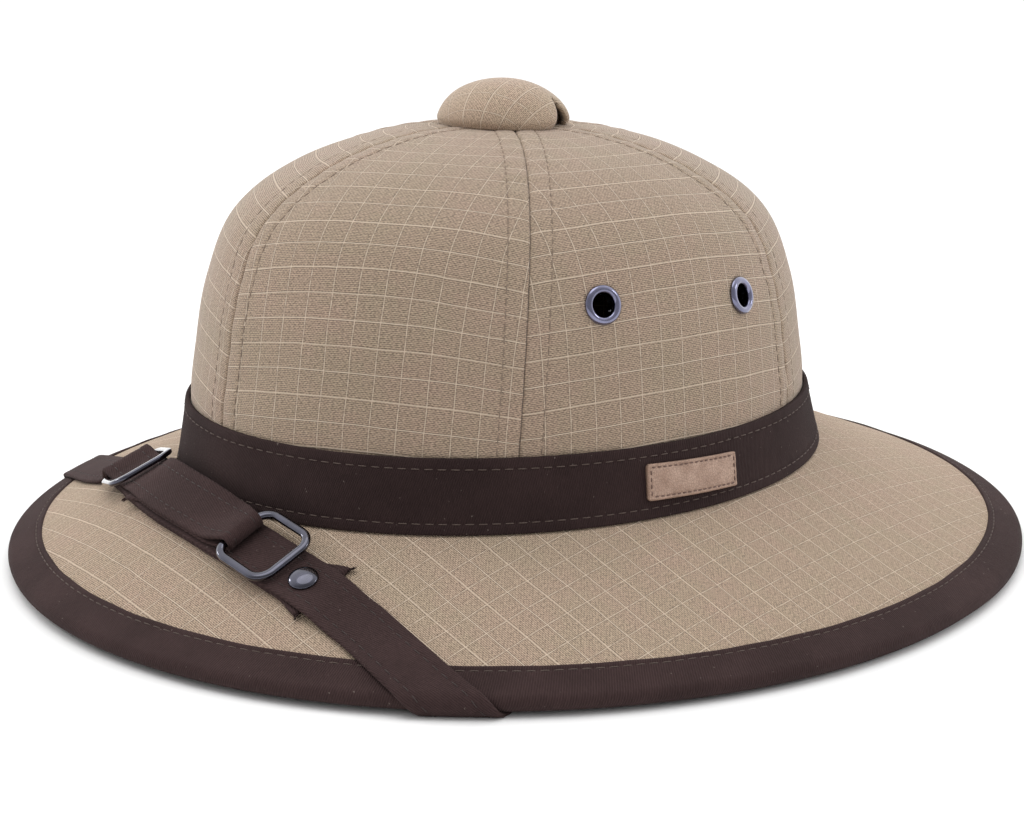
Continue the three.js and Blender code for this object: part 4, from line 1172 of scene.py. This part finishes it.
class BuildBinding(bpy.types.Operator):
    """Wide twill tape folded round the rim, with one row of stitches through it"""

    bl_idname = "hat.binding"
    bl_label = "Brim binding"

    STITCH = 1.9
    # Mean radius of the rim, and the section of the tape's inner face as places out and up from the edge line
    RIM_RADIUS = 157.0
    INNER = ((None, -4.2), (1.0, -4.2), (1.6, -3.4), (1.6, -1.4), (1.0, -0.75), (None, -0.75))

    def execute(self, context):
        steps = context.scene.hat_stage.segments
        width = sizes().binding_width * 1000
        around = np.linspace(0, 360, steps + 1)[None, :]
        _, edge, out, up, _ = brim_frame(around)
        a = radians(around)
        flat = np.linspace(-width, 0, 40)
        turn = np.linspace(0, math.pi, 22)[1:]
        back = np.linspace(0, -width, 22)[1:]
        beyond = np.concatenate([flat, RIM_ROUND * np.sin(turn), back])[:, None]
        high = np.concatenate([0 * flat, RIM_ROUND * (np.cos(turn) - 1), 0 * back - 2 * RIM_ROUND])[:, None]
        arc = math.pi * RIM_ROUND
        far = np.concatenate([flat + width, width + turn * RIM_ROUND, width + arc - back])[:, None]
        total = float(far[-1, 0])
        inner_edge = np.minimum(far, total - far)
        rounded = -0.75 * (1 - edge_round(inner_edge, 0.75))
        stitched = -0.26 * bump(inner_edge, self.STITCH, 0.5)
        hem = 0.12 * (1 - eased(inner_edge, self.STITCH, self.STITCH + 1.3))
        ripple = 0.07 * np.sin(a * 47 + 3 * np.sin(a * 5)) * bump(inner_edge, 1.0, 3.0)
        slow = 0.06 * np.sin(a * 13 + 1.0) * eased(inner_edge, 1, 7) + rim_curl(around)
        rest = np.where(high < -RIM_ROUND, 0.25, 1.0)
        lift = (rounded + stitched + hem + (ripple + slow)) * rest
        edge_wave = 0.08 * np.sin(a * 31 + 2 * np.sin(a * 7)) * bump(inner_edge, 0.0, 1.2)
        facing = np.concatenate([0 * flat, turn, 0 * back + math.pi])[:, None]
        outward = out * (beyond + np.sin(facing) * lift + edge_wave)[..., None]
        p = edge + outward + up * (high + np.cos(facing) * lift)[..., None]
        inner = np.array([(-width if reach is None else reach, rise) for reach, rise in self.INNER])
        q = edge[None, 0] + out[None, 0] * inner[:, :1, None] + up[None, 0] * inner[:, 1:, None]
        points = np.concatenate([p, q, p[:1]], 0)
        rows_far = np.concatenate([far[:, 0], total + 2.0 * np.arange(len(inner)), [total + 14.0]])[:, None]
        weave = np.stack([a * self.RIM_RADIUS + 0 * rows_far, rows_far + 0 * a], -1) / 1000
        tape = solid_grid("Binding_tape", points, {"weave": weave})
        dress(tape, finish_named("Brown twill", twill), "twill", "brim_binding")
        k = int(np.argmin(np.abs(far[:, 0] - self.STITCH)))
        sew("Binding_stitches", [(p[k], up[0])], "Brown thread", "twill", 0.9, -0.02)
        return {"FINISHED"}


class BuildPatch(bpy.types.Operator):
    """Small leather patch with rounded corners, sewn to the band round its border"""

    bl_idname = "hat.patch"
    bl_label = "Label patch"

    FRONT = (79.65, 0.236, 79.3, 0.743)
    BACK = (97.7, 0.31, 96.9, 0.8)
    LENGTH = 33.0
    HEIGHT = 10.2
    STITCH = 1.05

    def place(self, x, y, high):
        """Patch point: x along it and y up it from its middle, in millimetres, laid on the band `high` above
        it."""
        s = x / self.LENGTH + 0.5
        t = 0.5 - y / self.HEIGHT
        top_around = self.FRONT[0] * (1 - s) + self.BACK[0] * s
        low_around = self.FRONT[2] * (1 - s) + self.BACK[2] * s
        top_down = self.FRONT[1] * (1 - s) + self.BACK[1] * s
        low_down = self.FRONT[3] * (1 - s) + self.BACK[3] * s
        around = top_around * (1 - t) + low_around * t
        down = top_down * (1 - t) + low_down * t
        drop = band_foot(around)
        lean = np.arctan2(BAND_FLARE, -drop)
        p = foot_line(around, BAND_REACH + down * BAND_FLARE, down * drop)
        face = [p[..., 0] / CROWN_HALF_WIDTH**2, p[..., 1] / CROWN_HALF_LENGTH**2, 0 * around]
        out = unit(np.stack(face, -1))
        normal = out * np.cos(lean)[..., None] + np.array([0, 0, 1.0]) * np.sin(lean)[..., None]
        return p + normal * np.asarray(high)[..., None], normal

    @staticmethod
    def outline(x, y, corner, long, tall):
        """Squares of a grid drawn in to a rectangle with round corners: each point keeps its share of the
        way out."""
        half_x = long / 2
        half_y = tall / 2
        over_x = np.maximum(np.abs(x) - (half_x - corner), 0)
        over_y = np.maximum(np.abs(y) - (half_y - corner), 0)
        far = np.hypot(over_x, over_y)
        pull = np.where(far > corner, corner / np.maximum(far, 1e-6), 1.0)
        nx = np.where(over_x > 0, np.sign(x) * (half_x - corner + over_x * pull), x)
        ny = np.where(over_y > 0, np.sign(y) * (half_y - corner + over_y * pull), y)
        return nx, ny

    def execute(self, context):
        u = np.concatenate([[-0.5], np.linspace(-0.493, 0.493, 120), [0.5]])
        v = np.concatenate([[-0.5], np.linspace(-0.48, 0.48, 44), [0.5]])
        x, y = np.meshgrid(u * self.LENGTH, v * self.HEIGHT)
        x, y = self.outline(x, y, 1.0, self.LENGTH, self.HEIGHT)
        border = np.minimum(self.LENGTH / 2 - np.abs(x), self.HEIGHT / 2 - np.abs(y))
        worn = 0.05 * np.sin(x * 1.1) * np.sin(y * 1.7 + x * 0.4)
        high = 1.45 - 0.42 * (1 - edge_round(border, 0.6))
        high = high - 0.22 * bump(border, self.STITCH, 0.35) + worn
        top, _ = self.place(x, y, high)
        low, _ = self.place(x, y, 0 * x + 0.15)
        rows, columns = x.shape
        weave = np.stack([x, y], -1).reshape(-1, 2) / 1000
        n = rows * columns
        top_faces = grid_faces(rows, columns)
        low_faces = grid_faces(rows, columns, first=n)[:, ::-1]
        rim = np.concatenate([
            np.arange(columns), np.arange(1, rows) * columns + columns - 1,
            (rows - 1) * columns + np.arange(columns - 2, -1, -1), np.arange(rows - 2, 0, -1) * columns,
        ])
        nxt = np.roll(rim, -1)
        sides = np.stack([rim, rim + n, nxt + n, nxt], -1)
        patch = put_mesh(
            "Patch_leather",
            settled(np.concatenate([top.reshape(-1, 3), low.reshape(-1, 3)])),
            np.concatenate([top_faces, low_faces, sides]),
            {"weave": np.concatenate([weave, weave])},
        )
        make_outward(patch)
        dress(patch, finish_named("Tan leather", leather), "patch", "label_patch")
        hx = self.LENGTH / 2 - self.STITCH
        hy = self.HEIGHT / 2 - self.STITCH
        corners = np.array([(-hx, hy), (hx, hy), (hx, -hy), (-hx, -hy)])
        s = np.linspace(0, 1, 60)[:, None]
        lines = []
        for start, end in zip(corners, np.roll(corners, -1, axis=0)):
            x, y = (start * (1 - s) + end * s).T
            lines.append(self.place(x, y, 0 * x + 1.28))
        sew("Patch_stitches", lines, "Patch thread", "patch", 0.6, -0.05, length=1.3)
        return {"FINISHED"}


class BuildEyelets(bpy.types.Operator):
    """Four rolled metal eyelets in the side gores"""

    bl_idname = "hat.eyelets"
    bl_label = "Vent eyelets"

    PROFILE = (
        (3.2, -3.1), (3.2, -0.2), (3.25, 0.35), (3.45, 0.8), (3.85, 1.12), (4.3, 1.2), (4.8, 1.08),
        (5.25, 0.75), (5.5, 0.35), (5.52, 0.08), (5.4, -0.05), (3.9, -0.05), (3.85, -2.3), (4.9, -2.45),
        (4.95, -2.8), (4.3, -3.15),
    )

    def execute(self, context):
        # The eyelets' metal is drawn 3.8 times paler than the rings': painted highlight.
        metal = finish_named("Bright gunmetal", gunmetal, 3.8)
        for node, around, up in EYELETS:
            centre = crown_surface(around, up)
            e = 0.5
            across = crown_surface(around + e, up) - crown_surface(around - e, up)
            rise = crown_surface(around, up + e) - crown_surface(around, up - e)
            normal = unit(np.cross(across, rise))
            normal = normal * np.sign(normal @ centre)
            ring = turned("Metal_" + node, self.PROFILE, centre, normal, 72)
            dress(ring, metal, "gunmetal", node)
        return {"FINISHED"}


# Straps


def evened(table, spacing):
    """Reads a table of (along, height, width, aside) into close stations, and rounds its corners by a running
    mean. A row that leaves out its width or aside has 1 or 0 there."""
    rows = np.array([tuple(r) + (1.0, 0.0)[len(r) - 2 :] for r in table], float)
    far = np.concatenate([[0], np.cumsum(np.abs(np.diff(rows[:, 0])))])
    count = max(3, int(far[-1] / spacing) + 1)
    s = np.linspace(0, far[-1], count)
    read = read_columns(s, far, rows)
    pad = 2
    for k in (1, 2, 3):
        wide = np.pad(read[:, k], pad, mode="edge")
        read[:, k] = np.convolve(wide, np.ones(2 * pad + 1) / (2 * pad + 1), "valid")
    return read


class StrapShape:
    """Builds one strap: station rows of middle points with their width, then a flat tape round them."""

    ACROSS = np.linspace(-0.5, 0.5, 15)
    STITCH = 3.0

    def __init__(self):
        self.width = sizes().strap_width * 1000
        self.rows = []

    def add_table(self, table, spacing=1.0, drop_last=False):
        read = evened(table, spacing)
        if drop_last:
            read = read[:-1]
        across = self.ACROSS[None, :] * self.width * read[:, 2:3] + read[:, 3:4]
        self.rows.append(strap_surface(read[:, :1], across, read[:, 1:2]))

    def add_fold(self, along, height, side, width):
        """Half turn round a ring's bar, from the lower layer to the upper one."""
        turn = radians(np.linspace(-90, 90, 22))[:, None]
        across = self.ACROSS[None, :] * self.width * width + STRAP_ASIDE
        ahead = strap_surface(along + 0.5, across, height)
        behind = strap_surface(along - 0.5, across, height)
        step = np.linalg.norm(ahead - behind, axis=-1)
        reach = side * FOLD_RADIUS * np.cos(turn) / step
        self.rows.append(strap_surface(along + reach, across, height + FOLD_RADIUS * np.sin(turn)))

    def add_wrap(self, side):
        """Round the rim along lines that run with the rim, as a flat tape bends."""
        arc = math.pi * (RIM_ROUND + LAYERS[0])
        before = [-8.0, -6.5, -5.0, -3.5, -2.0, -1.0]
        goal = np.concatenate([before, np.linspace(0, arc, 30), [arc + 3.0, arc + 6.0]])[:, None]
        across = self.ACROSS[None, :] * self.width

        def short(along):
            here = strap_plan(side * along)
            ahead = strap_heading(side * along)
            x = here[..., 0] + ahead[..., 1] * across * 0.95
            y = here[..., 1] - ahead[..., 0] * across * 0.95
            around, share = brim_spot(x, y)
            return (share - 1) * brim_frame(around)[4] < goal

        along = halved((len(goal), len(self.ACROSS)), 40.0, 200.0, 36, short)
        self.rows.append(strap_surface(side * along, across, LAYERS[0]))

    # Places of the hidden stretch: where its middle is, then the direction of its width

    ROUTE = (
        (106.0, -64, -40.5, 0.93, 0.1, -0.33), (102.5, -48, -38.5, 0.92, 0.2, -0.33),
        (98.0, -33, -37.0, 0.85, 0.4, -0.33), (93.0, -20, -35.0, 0.68, 0.66, -0.31),
        (88.5, -10, -31.5, 0.42, 0.87, -0.27), (85.4, -3, -26.5, 0.2, 0.95, -0.22),
        (84.6, 1, -19.0, 0.06, 0.99, -0.12), (83.4, 2.5, -12.0, 0.0, 1.0, -0.05),
        (82.2, 3, -6.0, 0.0, 1.0, 0.0),
    )

    def add_hidden(self, side):
        """From the wrap back under the brim and up inside the crown: a smooth curve through a few chosen
        places, with the width turning from one to the next."""
        last = np.concatenate(self.rows)[-1]
        span = last[-1] - last[0]
        sign = 1.0 if span[0] * side > 0 else -1.0
        places = np.array([last[len(last) // 2]] + [(side * r[0], r[1], r[2]) for r in self.ROUTE])
        widths = [unit(span)]
        widths += [unit(np.array([side * r[3], r[4], r[5]])) * sign for r in self.ROUTE]
        size = np.array([np.linalg.norm(span)] + [self.width] * len(self.ROUTE))
        far = np.concatenate([[0], np.cumsum(np.linalg.norm(np.diff(places, axis=0), axis=1) ** 0.5)])
        at = np.linspace(0, far[-1], 90)[1:]
        middle = natural_curve(at, far, places)
        facing = unit(read_columns(at, far, np.array(widths)))
        wide = np.interp(at, far, size)[:, None]
        self.rows.append(middle[:, None] + self.ACROSS[None, :, None] * (facing * wide)[:, None])

    def tape(self, name, node, material):
        """Closed tape round the station rows: two faces half a thickness away on each side, rounded edges,
        and a channel at each line of stitches."""
        middle = smooth_rows(np.concatenate(self.rows), 2)
        normals = -grid_normals(middle)
        far = run(middle[:, len(self.ACROSS) // 2])[:, None]
        half = sizes().strap_thickness * 500
        fine = np.linspace(-0.5, 0.5, 41)
        pick = np.interp(fine, self.ACROSS, np.arange(len(self.ACROSS)))
        i0 = np.clip(np.floor(pick).astype(int), 0, len(self.ACROSS) - 2)
        f = (pick - i0)[None, :, None]
        centre = middle[:, i0] * (1 - f) + middle[:, i0 + 1] * f
        facing = unit(normals[:, i0] * (1 - f) + normals[:, i0 + 1] * f)
        from_edge = (0.5 - np.abs(fine))[None, :] * self.width
        rounded = edge_round(from_edge, 0.55)
        channel = -0.17 * bump(from_edge, self.STITCH, 0.45)
        hem = 0.10 * (1 - eased(from_edge, self.STITCH - 0.4, self.STITCH + 0.6))
        ripple = 0.05 * np.sin(far * 1.9) * bump(from_edge, self.STITCH, 1.4)
        thick = half * rounded + (channel + hem + ripple) * rounded
        top = centre + facing * thick[..., None]
        under = centre - facing * thick[..., None]
        loop = np.concatenate([top, under[:, ::-1]], 1)
        loop = np.concatenate([loop, loop[:, :1]], 1)
        across = np.concatenate([fine, fine[::-1], fine[:1]])[None, :] * self.width
        weave = np.stack([across + 0 * far, far + 0 * across], -1) / 1000
        placed = settled(loop)
        placed[..., 2] = np.maximum(placed[..., 2], 0.00002)
        rows, columns = loop.shape[:2]
        faces = grid_faces(rows, columns)
        thing = put_mesh(name, placed.reshape(-1, 3), faces, {"weave": weave.reshape(-1, 2)})
        seal_ends(thing)
        make_outward(thing)
        dress(thing, material, "twill", node)
        keep = self.visible_rows()
        lines = []
        for edge in (-1, 1):
            k = int(np.argmin(np.abs(from_edge[0] - self.STITCH) + (np.sign(fine) != edge) * 50))
            lines.append((top[keep, k], facing[keep, k]))
            lines.append((under[keep, k], -facing[keep, k]))
        return lines, top, facing

    def visible_rows(self):
        """Rows that carry stitches: all but the hidden stretch."""
        return slice(2, sum(len(r) for r in self.rows[:-1]) - 4)


def natural_curve(at, far, values):
    """Cubic through the rows of a table at uneven distances, each with the slope of its two neighbours."""
    slopes = np.gradient(values, far, axis=0)
    i = np.clip(np.searchsorted(far, at) - 1, 0, len(far) - 2)
    span = (far[i + 1] - far[i])[:, None]
    s = (at - far[i])[:, None] / span
    return cubic(s, span, values[i], slopes[i], values[i + 1], slopes[i + 1])


def smooth_rows(points, times):
    """Running mean of three along the rows, with both ends held."""
    p = points.copy()
    for _ in range(times):
        p[1:-1] = (p[:-2] + 2 * p[1:-1] + p[2:]) / 4
    return p


class BuildStrap(bpy.types.Operator):
    """Two lengths of twill strap, folded round the slide rings, round the rim and up inside the crown"""

    bl_idname = "hat.strap"
    bl_label = "Chin strap"

    def execute(self, context):
        brown = finish_named("Brown strap twill", twill, 1.12)
        rows = []
        for shape, name, node in (
            (self.lower(), "Strap_lower", "chin_strap_lower"),
            (self.upper(), "Strap_upper", "chin_strap_upper"),
        ):
            lines, top, facing = shape.tape(name, node, brown)
            rows += lines
            self.fray(name + "_fray", top[0], facing[0], top[0] - top[3], brown)
        sew("Strap_stitches", rows, "Dark thread", "twill", 1.0, 0.0, radius=0.16)
        return {"FINISHED"}

    @staticmethod
    def lower():
        """From the cut end back to the first ring, round its bar, then on to the rim at the wearer's left."""
        first, second = LAYERS[:2]
        ring, bar = RING_ONE[:2]
        squeeze = LOWER_SQUEEZE
        shift = STRAP_ASIDE
        shape = StrapShape()
        shape.add_table([
            (65, first, 1.34, -1.2), (63, first, 1.34, -1.2), (60.5, first, 1.14, -0.5), (56, first),
            (ring + 24, first), (ring, first, squeeze, shift),
        ], drop_last=True)
        shape.add_fold(ring, bar, -1, squeeze)
        shape.add_table([
            (ring + 0.2, bar + FOLD_RADIUS, squeeze, shift), (ring + 2.6, second + 2.45, squeeze, shift),
            (ring + 5, second + 1.3, squeeze, shift), (ring + 8, second + 0.4, 1.0, shift),
            (ring + 12, second, 1.0, shift), (ring + 24, second), (68, second), (76, first), (84, first),
        ])
        shape.add_wrap(1)
        shape.add_hidden(1)
        return shape

    @staticmethod
    def upper():
        """From the cut end to the second ring, round its bar, back over the first ring and on to the rim at
        the wearer's right."""
        first, _, third, fourth = LAYERS
        ring, low_bar = RING_ONE[:2]
        fold, bar = RING_TWO[:2]
        squeeze = UPPER_SQUEEZE
        shift = STRAP_ASIDE
        over = low_bar + FOLD_RADIUS
        shape = StrapShape()
        shape.add_table([
            (-22, third, 1.18, shift + 0.9), (-20.4, third, 1.18, shift + 0.9), (-17.5, third, 1.0, shift),
            (fold - 7, third, 1.0, shift), (fold, third, squeeze, shift),
        ], drop_last=True)
        shape.add_fold(fold, bar, 1, squeeze)
        shape.add_table([
            (fold, bar + FOLD_RADIUS, squeeze, shift), (fold - 4, fourth + 1.7, 0.93, shift),
            (fold - 8, fourth + 0.5, 1.0, shift), (fold - 12, fourth, 1.0, shift), (-23, fourth, 1.0, shift),
            (-30, third, 1.0, shift), (ring + 12, third, 1.0, shift), (ring + 8, third + 0.4, 1.0, shift),
            (ring + 5, third + 1.3, 1.0, shift), (ring + 2.6, third + 2.45, 1.0, shift),
            (ring, over + 1.35, 1.0, shift), (ring - 2.6, over + 0.4, 1.0, shift),
            (ring - 4.4, over - 1.2, 1.0, shift), (ring - 8, first + 1.0, 1.0, shift),
            (ring - 13, first, 1.0, shift / 2), (-84, first),
        ])
        shape.add_wrap(-1)
        shape.add_hidden(-1)
        return shape

    @staticmethod
    def fray(name, line, facing, outward, material):
        """Loose ends of thread at a cut end: thin tapered strands, longest at the corners."""
        rng = np.random.default_rng(7)
        count = 110
        corner_count = 36
        where = np.sort(rng.uniform(0, 1, count))
        where[:corner_count] = rng.uniform(0, 0.06, corner_count)
        where[-corner_count:] = rng.uniform(0.94, 1, corner_count)
        index = where * (len(line) - 1)
        base = read_columns(index, np.arange(len(line)), line)
        up = unit(read_columns(index, np.arange(len(line)), facing))
        away = unit(outward.mean(0))
        across = unit(line[-1] - line[0])
        corner = np.abs(where - 0.5) * 2
        lean = np.sign(where - 0.5) * eased(corner, 0.8, 1.0)
        stray = rng.normal(0, 0.25, count)
        tilt = rng.uniform(-0.1, 0.5, count)
        heading = unit(away + across * (lean * 0.9 + stray)[:, None] + up * tilt[:, None])
        plain_length = rng.uniform(0.4, 1.0, count)
        length = plain_length + 0.7 * eased(corner, 0.85, 1.0) * rng.uniform(0.4, 1.3, count)
        s = np.linspace(0, 1, 5)
        reach = (s[None, :] * length[:, None])[..., None]
        middle = base[:, None] - up[:, None] * 0.5 + heading[:, None] * reach
        middle = middle + up[:, None] * (0.5 * s**2 * 0.6)[None, :, None]
        side = unit(np.cross(heading, up))
        points, faces = rods(middle, side[:, None], up[:, None], 0.17 * (1 - 0.7 * s), 4)
        flat = settled(points)
        uv = np.tile(np.array([[0.001, 0.002]]), (len(flat), 1))
        thing = put_mesh(name, flat, faces, {"weave": uv})
        dress(thing, material, "twill")


class BuildRings(bpy.types.Operator):
    """Two slide rings of polished wire with rounded corners, and the rivet through the strap's fold"""

    bl_idname = "hat.rings"
    bl_label = "Rings and rivet"

    HALF_LONG = 9.65
    HALF_CROSS = 9.4
    CORNER = 4.6
    WIRE_WIDE = 1.24
    WIRE_TALL = 0.9
    WIRE_POWER = 0.75

    def ring(self, name, node, bars):
        """Flattened wire carried round a rounded rectangle between its two bars: the section's corners are
        rounded, because each half size is multiplied by a root of the sine or cosine."""
        start, start_high, end, end_high = bars
        a = strap_surface(start, STRAP_ASIDE, start_high)
        b = strap_surface(end, STRAP_ASIDE, end_high)
        long = unit(b - a)
        half = sizes().strap_width * 500
        across = strap_surface(start, half, LAYERS[2]) - strap_surface(start, -half, LAYERS[2])
        across = unit(across - long * (across @ long))
        up = np.cross(long, across)
        centre = a + long * self.HALF_LONG
        quarter = np.linspace(0, math.pi / 2, 16)
        corners = []
        for k, (sx, sy) in enumerate(((1, 1), (-1, 1), (-1, -1), (1, -1))):
            turn = quarter + k * math.pi / 2
            corners.append(np.stack([
                sx * (self.HALF_LONG - self.CORNER) + self.CORNER * np.cos(turn),
                sy * (self.HALF_CROSS - self.CORNER) + self.CORNER * np.sin(turn),
                np.cos(turn), np.sin(turn),
            ], -1))
        path = []
        s = np.linspace(0, 1, 10)[1:-1, None]
        for corner, following in zip(corners, corners[1:] + corners[:1]):
            path += [corner, corner[-1] * (1 - s) + following[0] * s]
        path = np.concatenate(path)
        turn = np.linspace(0, 2 * math.pi, 24, endpoint=False)
        out = path[:, 2:3] * long + path[:, 3:4] * across
        middle = centre + path[:, :1] * long + path[:, 1:2] * across
        wide = self.WIRE_WIDE * np.sign(np.cos(turn)) * np.abs(np.cos(turn)) ** self.WIRE_POWER
        tall = self.WIRE_TALL * np.sign(np.sin(turn)) * np.abs(np.sin(turn)) ** self.WIRE_POWER
        points = middle[:, None] + out[:, None] * wide[None, :, None] + up * tall[None, :, None]
        thing = surface(name, points, closed_rows=True, closed_columns=True)
        make_outward(thing)
        dress(thing, finish_named("Gunmetal", gunmetal), "gunmetal", node)

    def execute(self, context):
        self.ring("Ring_first", "strap_ring_1", RING_ONE)
        self.ring("Ring_second", "strap_ring_2", RING_TWO)
        base = strap_surface(SNAP_ALONG, 0.0, 0.0)
        normal = unit(strap_surface(SNAP_ALONG, 0.0, 1.0) - base)
        dome = np.linspace(0, math.pi / 2, 16)
        cap = [(4.0 * math.sin(t) ** 0.9, 3.1 + 1.2 * math.cos(t)) for t in dome]
        profile = cap + [(4.05, 2.95), (3.95, 2.82), (3.6, 2.8), (1.2, 2.8), (1.2, 0.45), (0.0, 0.45)]
        rivet = turned("Rivet_metal", profile, base, normal, 64, closed=False)
        dress(rivet, finish_named("Gunmetal", gunmetal), "gunmetal", "snap_rivet")
        return {"FINISHED"}


class BuildStage(bpy.types.Operator):
    """Pale floor, soft studio lights and the camera"""

    bl_idname = "hat.stage"
    bl_label = "Stage"

    LIGHTS = (
        ("Top", (-0.1, -0.25, 1.5), 1.1, 5.0, (1.0, 1.0, 0.99)),
        ("Left", (-1.3, -0.9, 0.9), 0.35, 4.0, (1.0, 0.99, 0.97)),
        ("Right", (1.1, 1.1, 0.9), 0.35, 2.6, (0.98, 0.99, 1.0)),
    )
    WORLD_BEHIND = 1.5
    WORLD_BEFORE = 0.53
    FLOOR_HALF = 20.0
    # Middle of the photograph against the camera's axis, in pixels, and its width
    SHIFT_X = 6.21
    SHIFT_Y = -32.34
    PICTURE_WIDTH = 1024

    def execute(self, context):
        scene = context.scene
        stage = scene.hat_stage
        scene.view_settings.view_transform = "Standard"
        self.floor()
        self.world(stage)
        for name, place, size, power, colour in self.LIGHTS:
            lamp = bpy.data.lights.new(name, "AREA")
            lamp.shape = "DISK"
            lamp.size = size
            lamp.energy = power * stage.light
            lamp.color = colour
            thing = bpy.data.objects.new(name, lamp)
            thing.matrix_world = self.aimed(np.array(place), np.array([0.0, 0.0, 0.05]))
            scene.collection.objects.link(thing)
        self.camera(scene, stage)
        return {"FINISHED"}

    @staticmethod
    def aimed(place, target):
        """Matrix at a place whose -Z axis looks at the target."""
        back = unit(place - target)
        right = unit(np.cross(np.array([0.0, 0.0, 1.0]), back))
        up = np.cross(back, right)
        return axes_matrix(right, up, back, place)

    def floor(self):
        half = self.FLOOR_HALF
        corner = np.array([[-half, -half, 0.0], [half, -half, 0.0], [half, half, 0.0], [-half, half, 0.0]])
        plane = put_mesh("Floor", corner, np.array([[0, 1, 2, 3]]), smooth=False)
        n = Nodes("Pale floor")
        n.shade({"Base Color": (0.93, 0.93, 0.93, 1.0), "Roughness": 0.95})
        plane.data.materials.append(n.material)

    def world(self, stage):
        """White studio: brighter behind the hat than before it, by how far a direction turns to the
        camera."""
        world = bpy.data.worlds.new("Studio")
        world.use_nodes = True
        tree = world.node_tree
        background = tree.nodes["Background"]
        background.inputs[0].default_value = (1.0, 1.0, 1.0, 1.0)
        facing = tree.nodes.new("ShaderNodeVectorMath")
        facing.operation = "DOT_PRODUCT"
        facing.inputs[1].default_value = (math.sin(stage.bearing), -math.cos(stage.bearing), 0.0)
        source = tree.nodes.new("ShaderNodeTexCoord")
        tree.links.new(source.outputs["Generated"], facing.inputs[0])
        level = tree.nodes.new("ShaderNodeMapRange")
        level.interpolation_type = "SMOOTHSTEP"
        numbers = (-0.35, 0.75, self.WORLD_BEHIND * stage.light, self.WORLD_BEFORE * stage.light)
        for k, number in enumerate(numbers):
            level.inputs[k + 1].default_value = number
        tree.links.new(facing.outputs["Value"], level.inputs[0])
        tree.links.new(level.outputs[0], background.inputs[1])
        bpy.context.scene.world = world

    def camera(self, scene, stage):
        """Camera fitted to the photograph. It leans with the hat, so it is placed through the same move."""
        a = stage.bearing
        e = stage.height
        back = np.array([math.sin(a) * math.cos(e), -math.cos(a) * math.cos(e), math.sin(e)])
        right = np.array([math.cos(a), math.sin(a), 0.0])
        up = np.cross(back, right)
        c = math.cos(stage.roll)
        s = math.sin(stage.roll)
        turned_right = c * right - s * up
        turned_up = s * right + c * up
        eye = back * stage.distance * 1000
        origin = settled(np.zeros(3))
        axes = [unit(settled(v * 1000.0) - origin) for v in (turned_right, turned_up, back)]
        lens = bpy.data.cameras.new("Camera")
        lens.lens = stage.lens
        lens.sensor_width = 36.0
        lens.shift_x = self.SHIFT_X / self.PICTURE_WIDTH
        lens.shift_y = self.SHIFT_Y / self.PICTURE_WIDTH
        lens.clip_start = 0.01
        thing = bpy.data.objects.new("Camera", lens)
        thing.matrix_world = axes_matrix(*axes, settled(eye))
        scene.collection.objects.link(thing)
        scene.camera = thing


def axes_matrix(x, y, z, place):
    """Matrix with the given axes as its columns and the given place."""
    matrix = np.eye(4)
    matrix[:3, 0] = x
    matrix[:3, 1] = y
    matrix[:3, 2] = z
    matrix[:3, 3] = place
    return Matrix(matrix.tolist())


class HatPanel(bpy.types.Panel):
    """Lists the hat's sizes and colours, and a button for each piece"""

    bl_idname = "VIEW3D_PT_pith_helmet"
    bl_label = "Pith helmet"
    bl_space_type = "VIEW_3D"
    bl_region_type = "UI"
    bl_category = "Pith helmet"

    def draw(self, context):
        column = self.layout.column()
        for group in (context.scene.hat_sizes, context.scene.hat_finish, context.scene.hat_stage):
            for key in group.__annotations__:
                column.prop(group, key)
        for operator in OPERATORS:
            column.operator(operator.bl_idname)


OPERATORS = (
    BuildStage, BuildCrown, BuildVentCap, BuildBand, BuildBrim, BuildBinding, BuildPatch, BuildEyelets,
    BuildStrap, BuildRings,
)
GROUPS = (("hat_sizes", HatSizes), ("hat_finish", HatFinish), ("hat_stage", HatStage))


def register():
    for _, group in GROUPS:
        bpy.utils.register_class(group)
    for operator in OPERATORS:
        bpy.utils.register_class(operator)
    bpy.utils.register_class(HatPanel)
    for name, group in GROUPS:
        setattr(bpy.types.Scene, name, PointerProperty(type=group))


def unregister():
    for name, _ in GROUPS:
        delattr(bpy.types.Scene, name)
    bpy.utils.unregister_class(HatPanel)
    for operator in reversed(OPERATORS):
        bpy.utils.unregister_class(operator)
    for _, group in reversed(GROUPS):
        bpy.utils.unregister_class(group)


def main():
    register()
    for operator in OPERATORS:
        getattr(bpy.ops.hat, operator.bl_idname.split(".")[1])()
    bpy.context.view_layer.update()


if __name__ == "__main__":
    main()
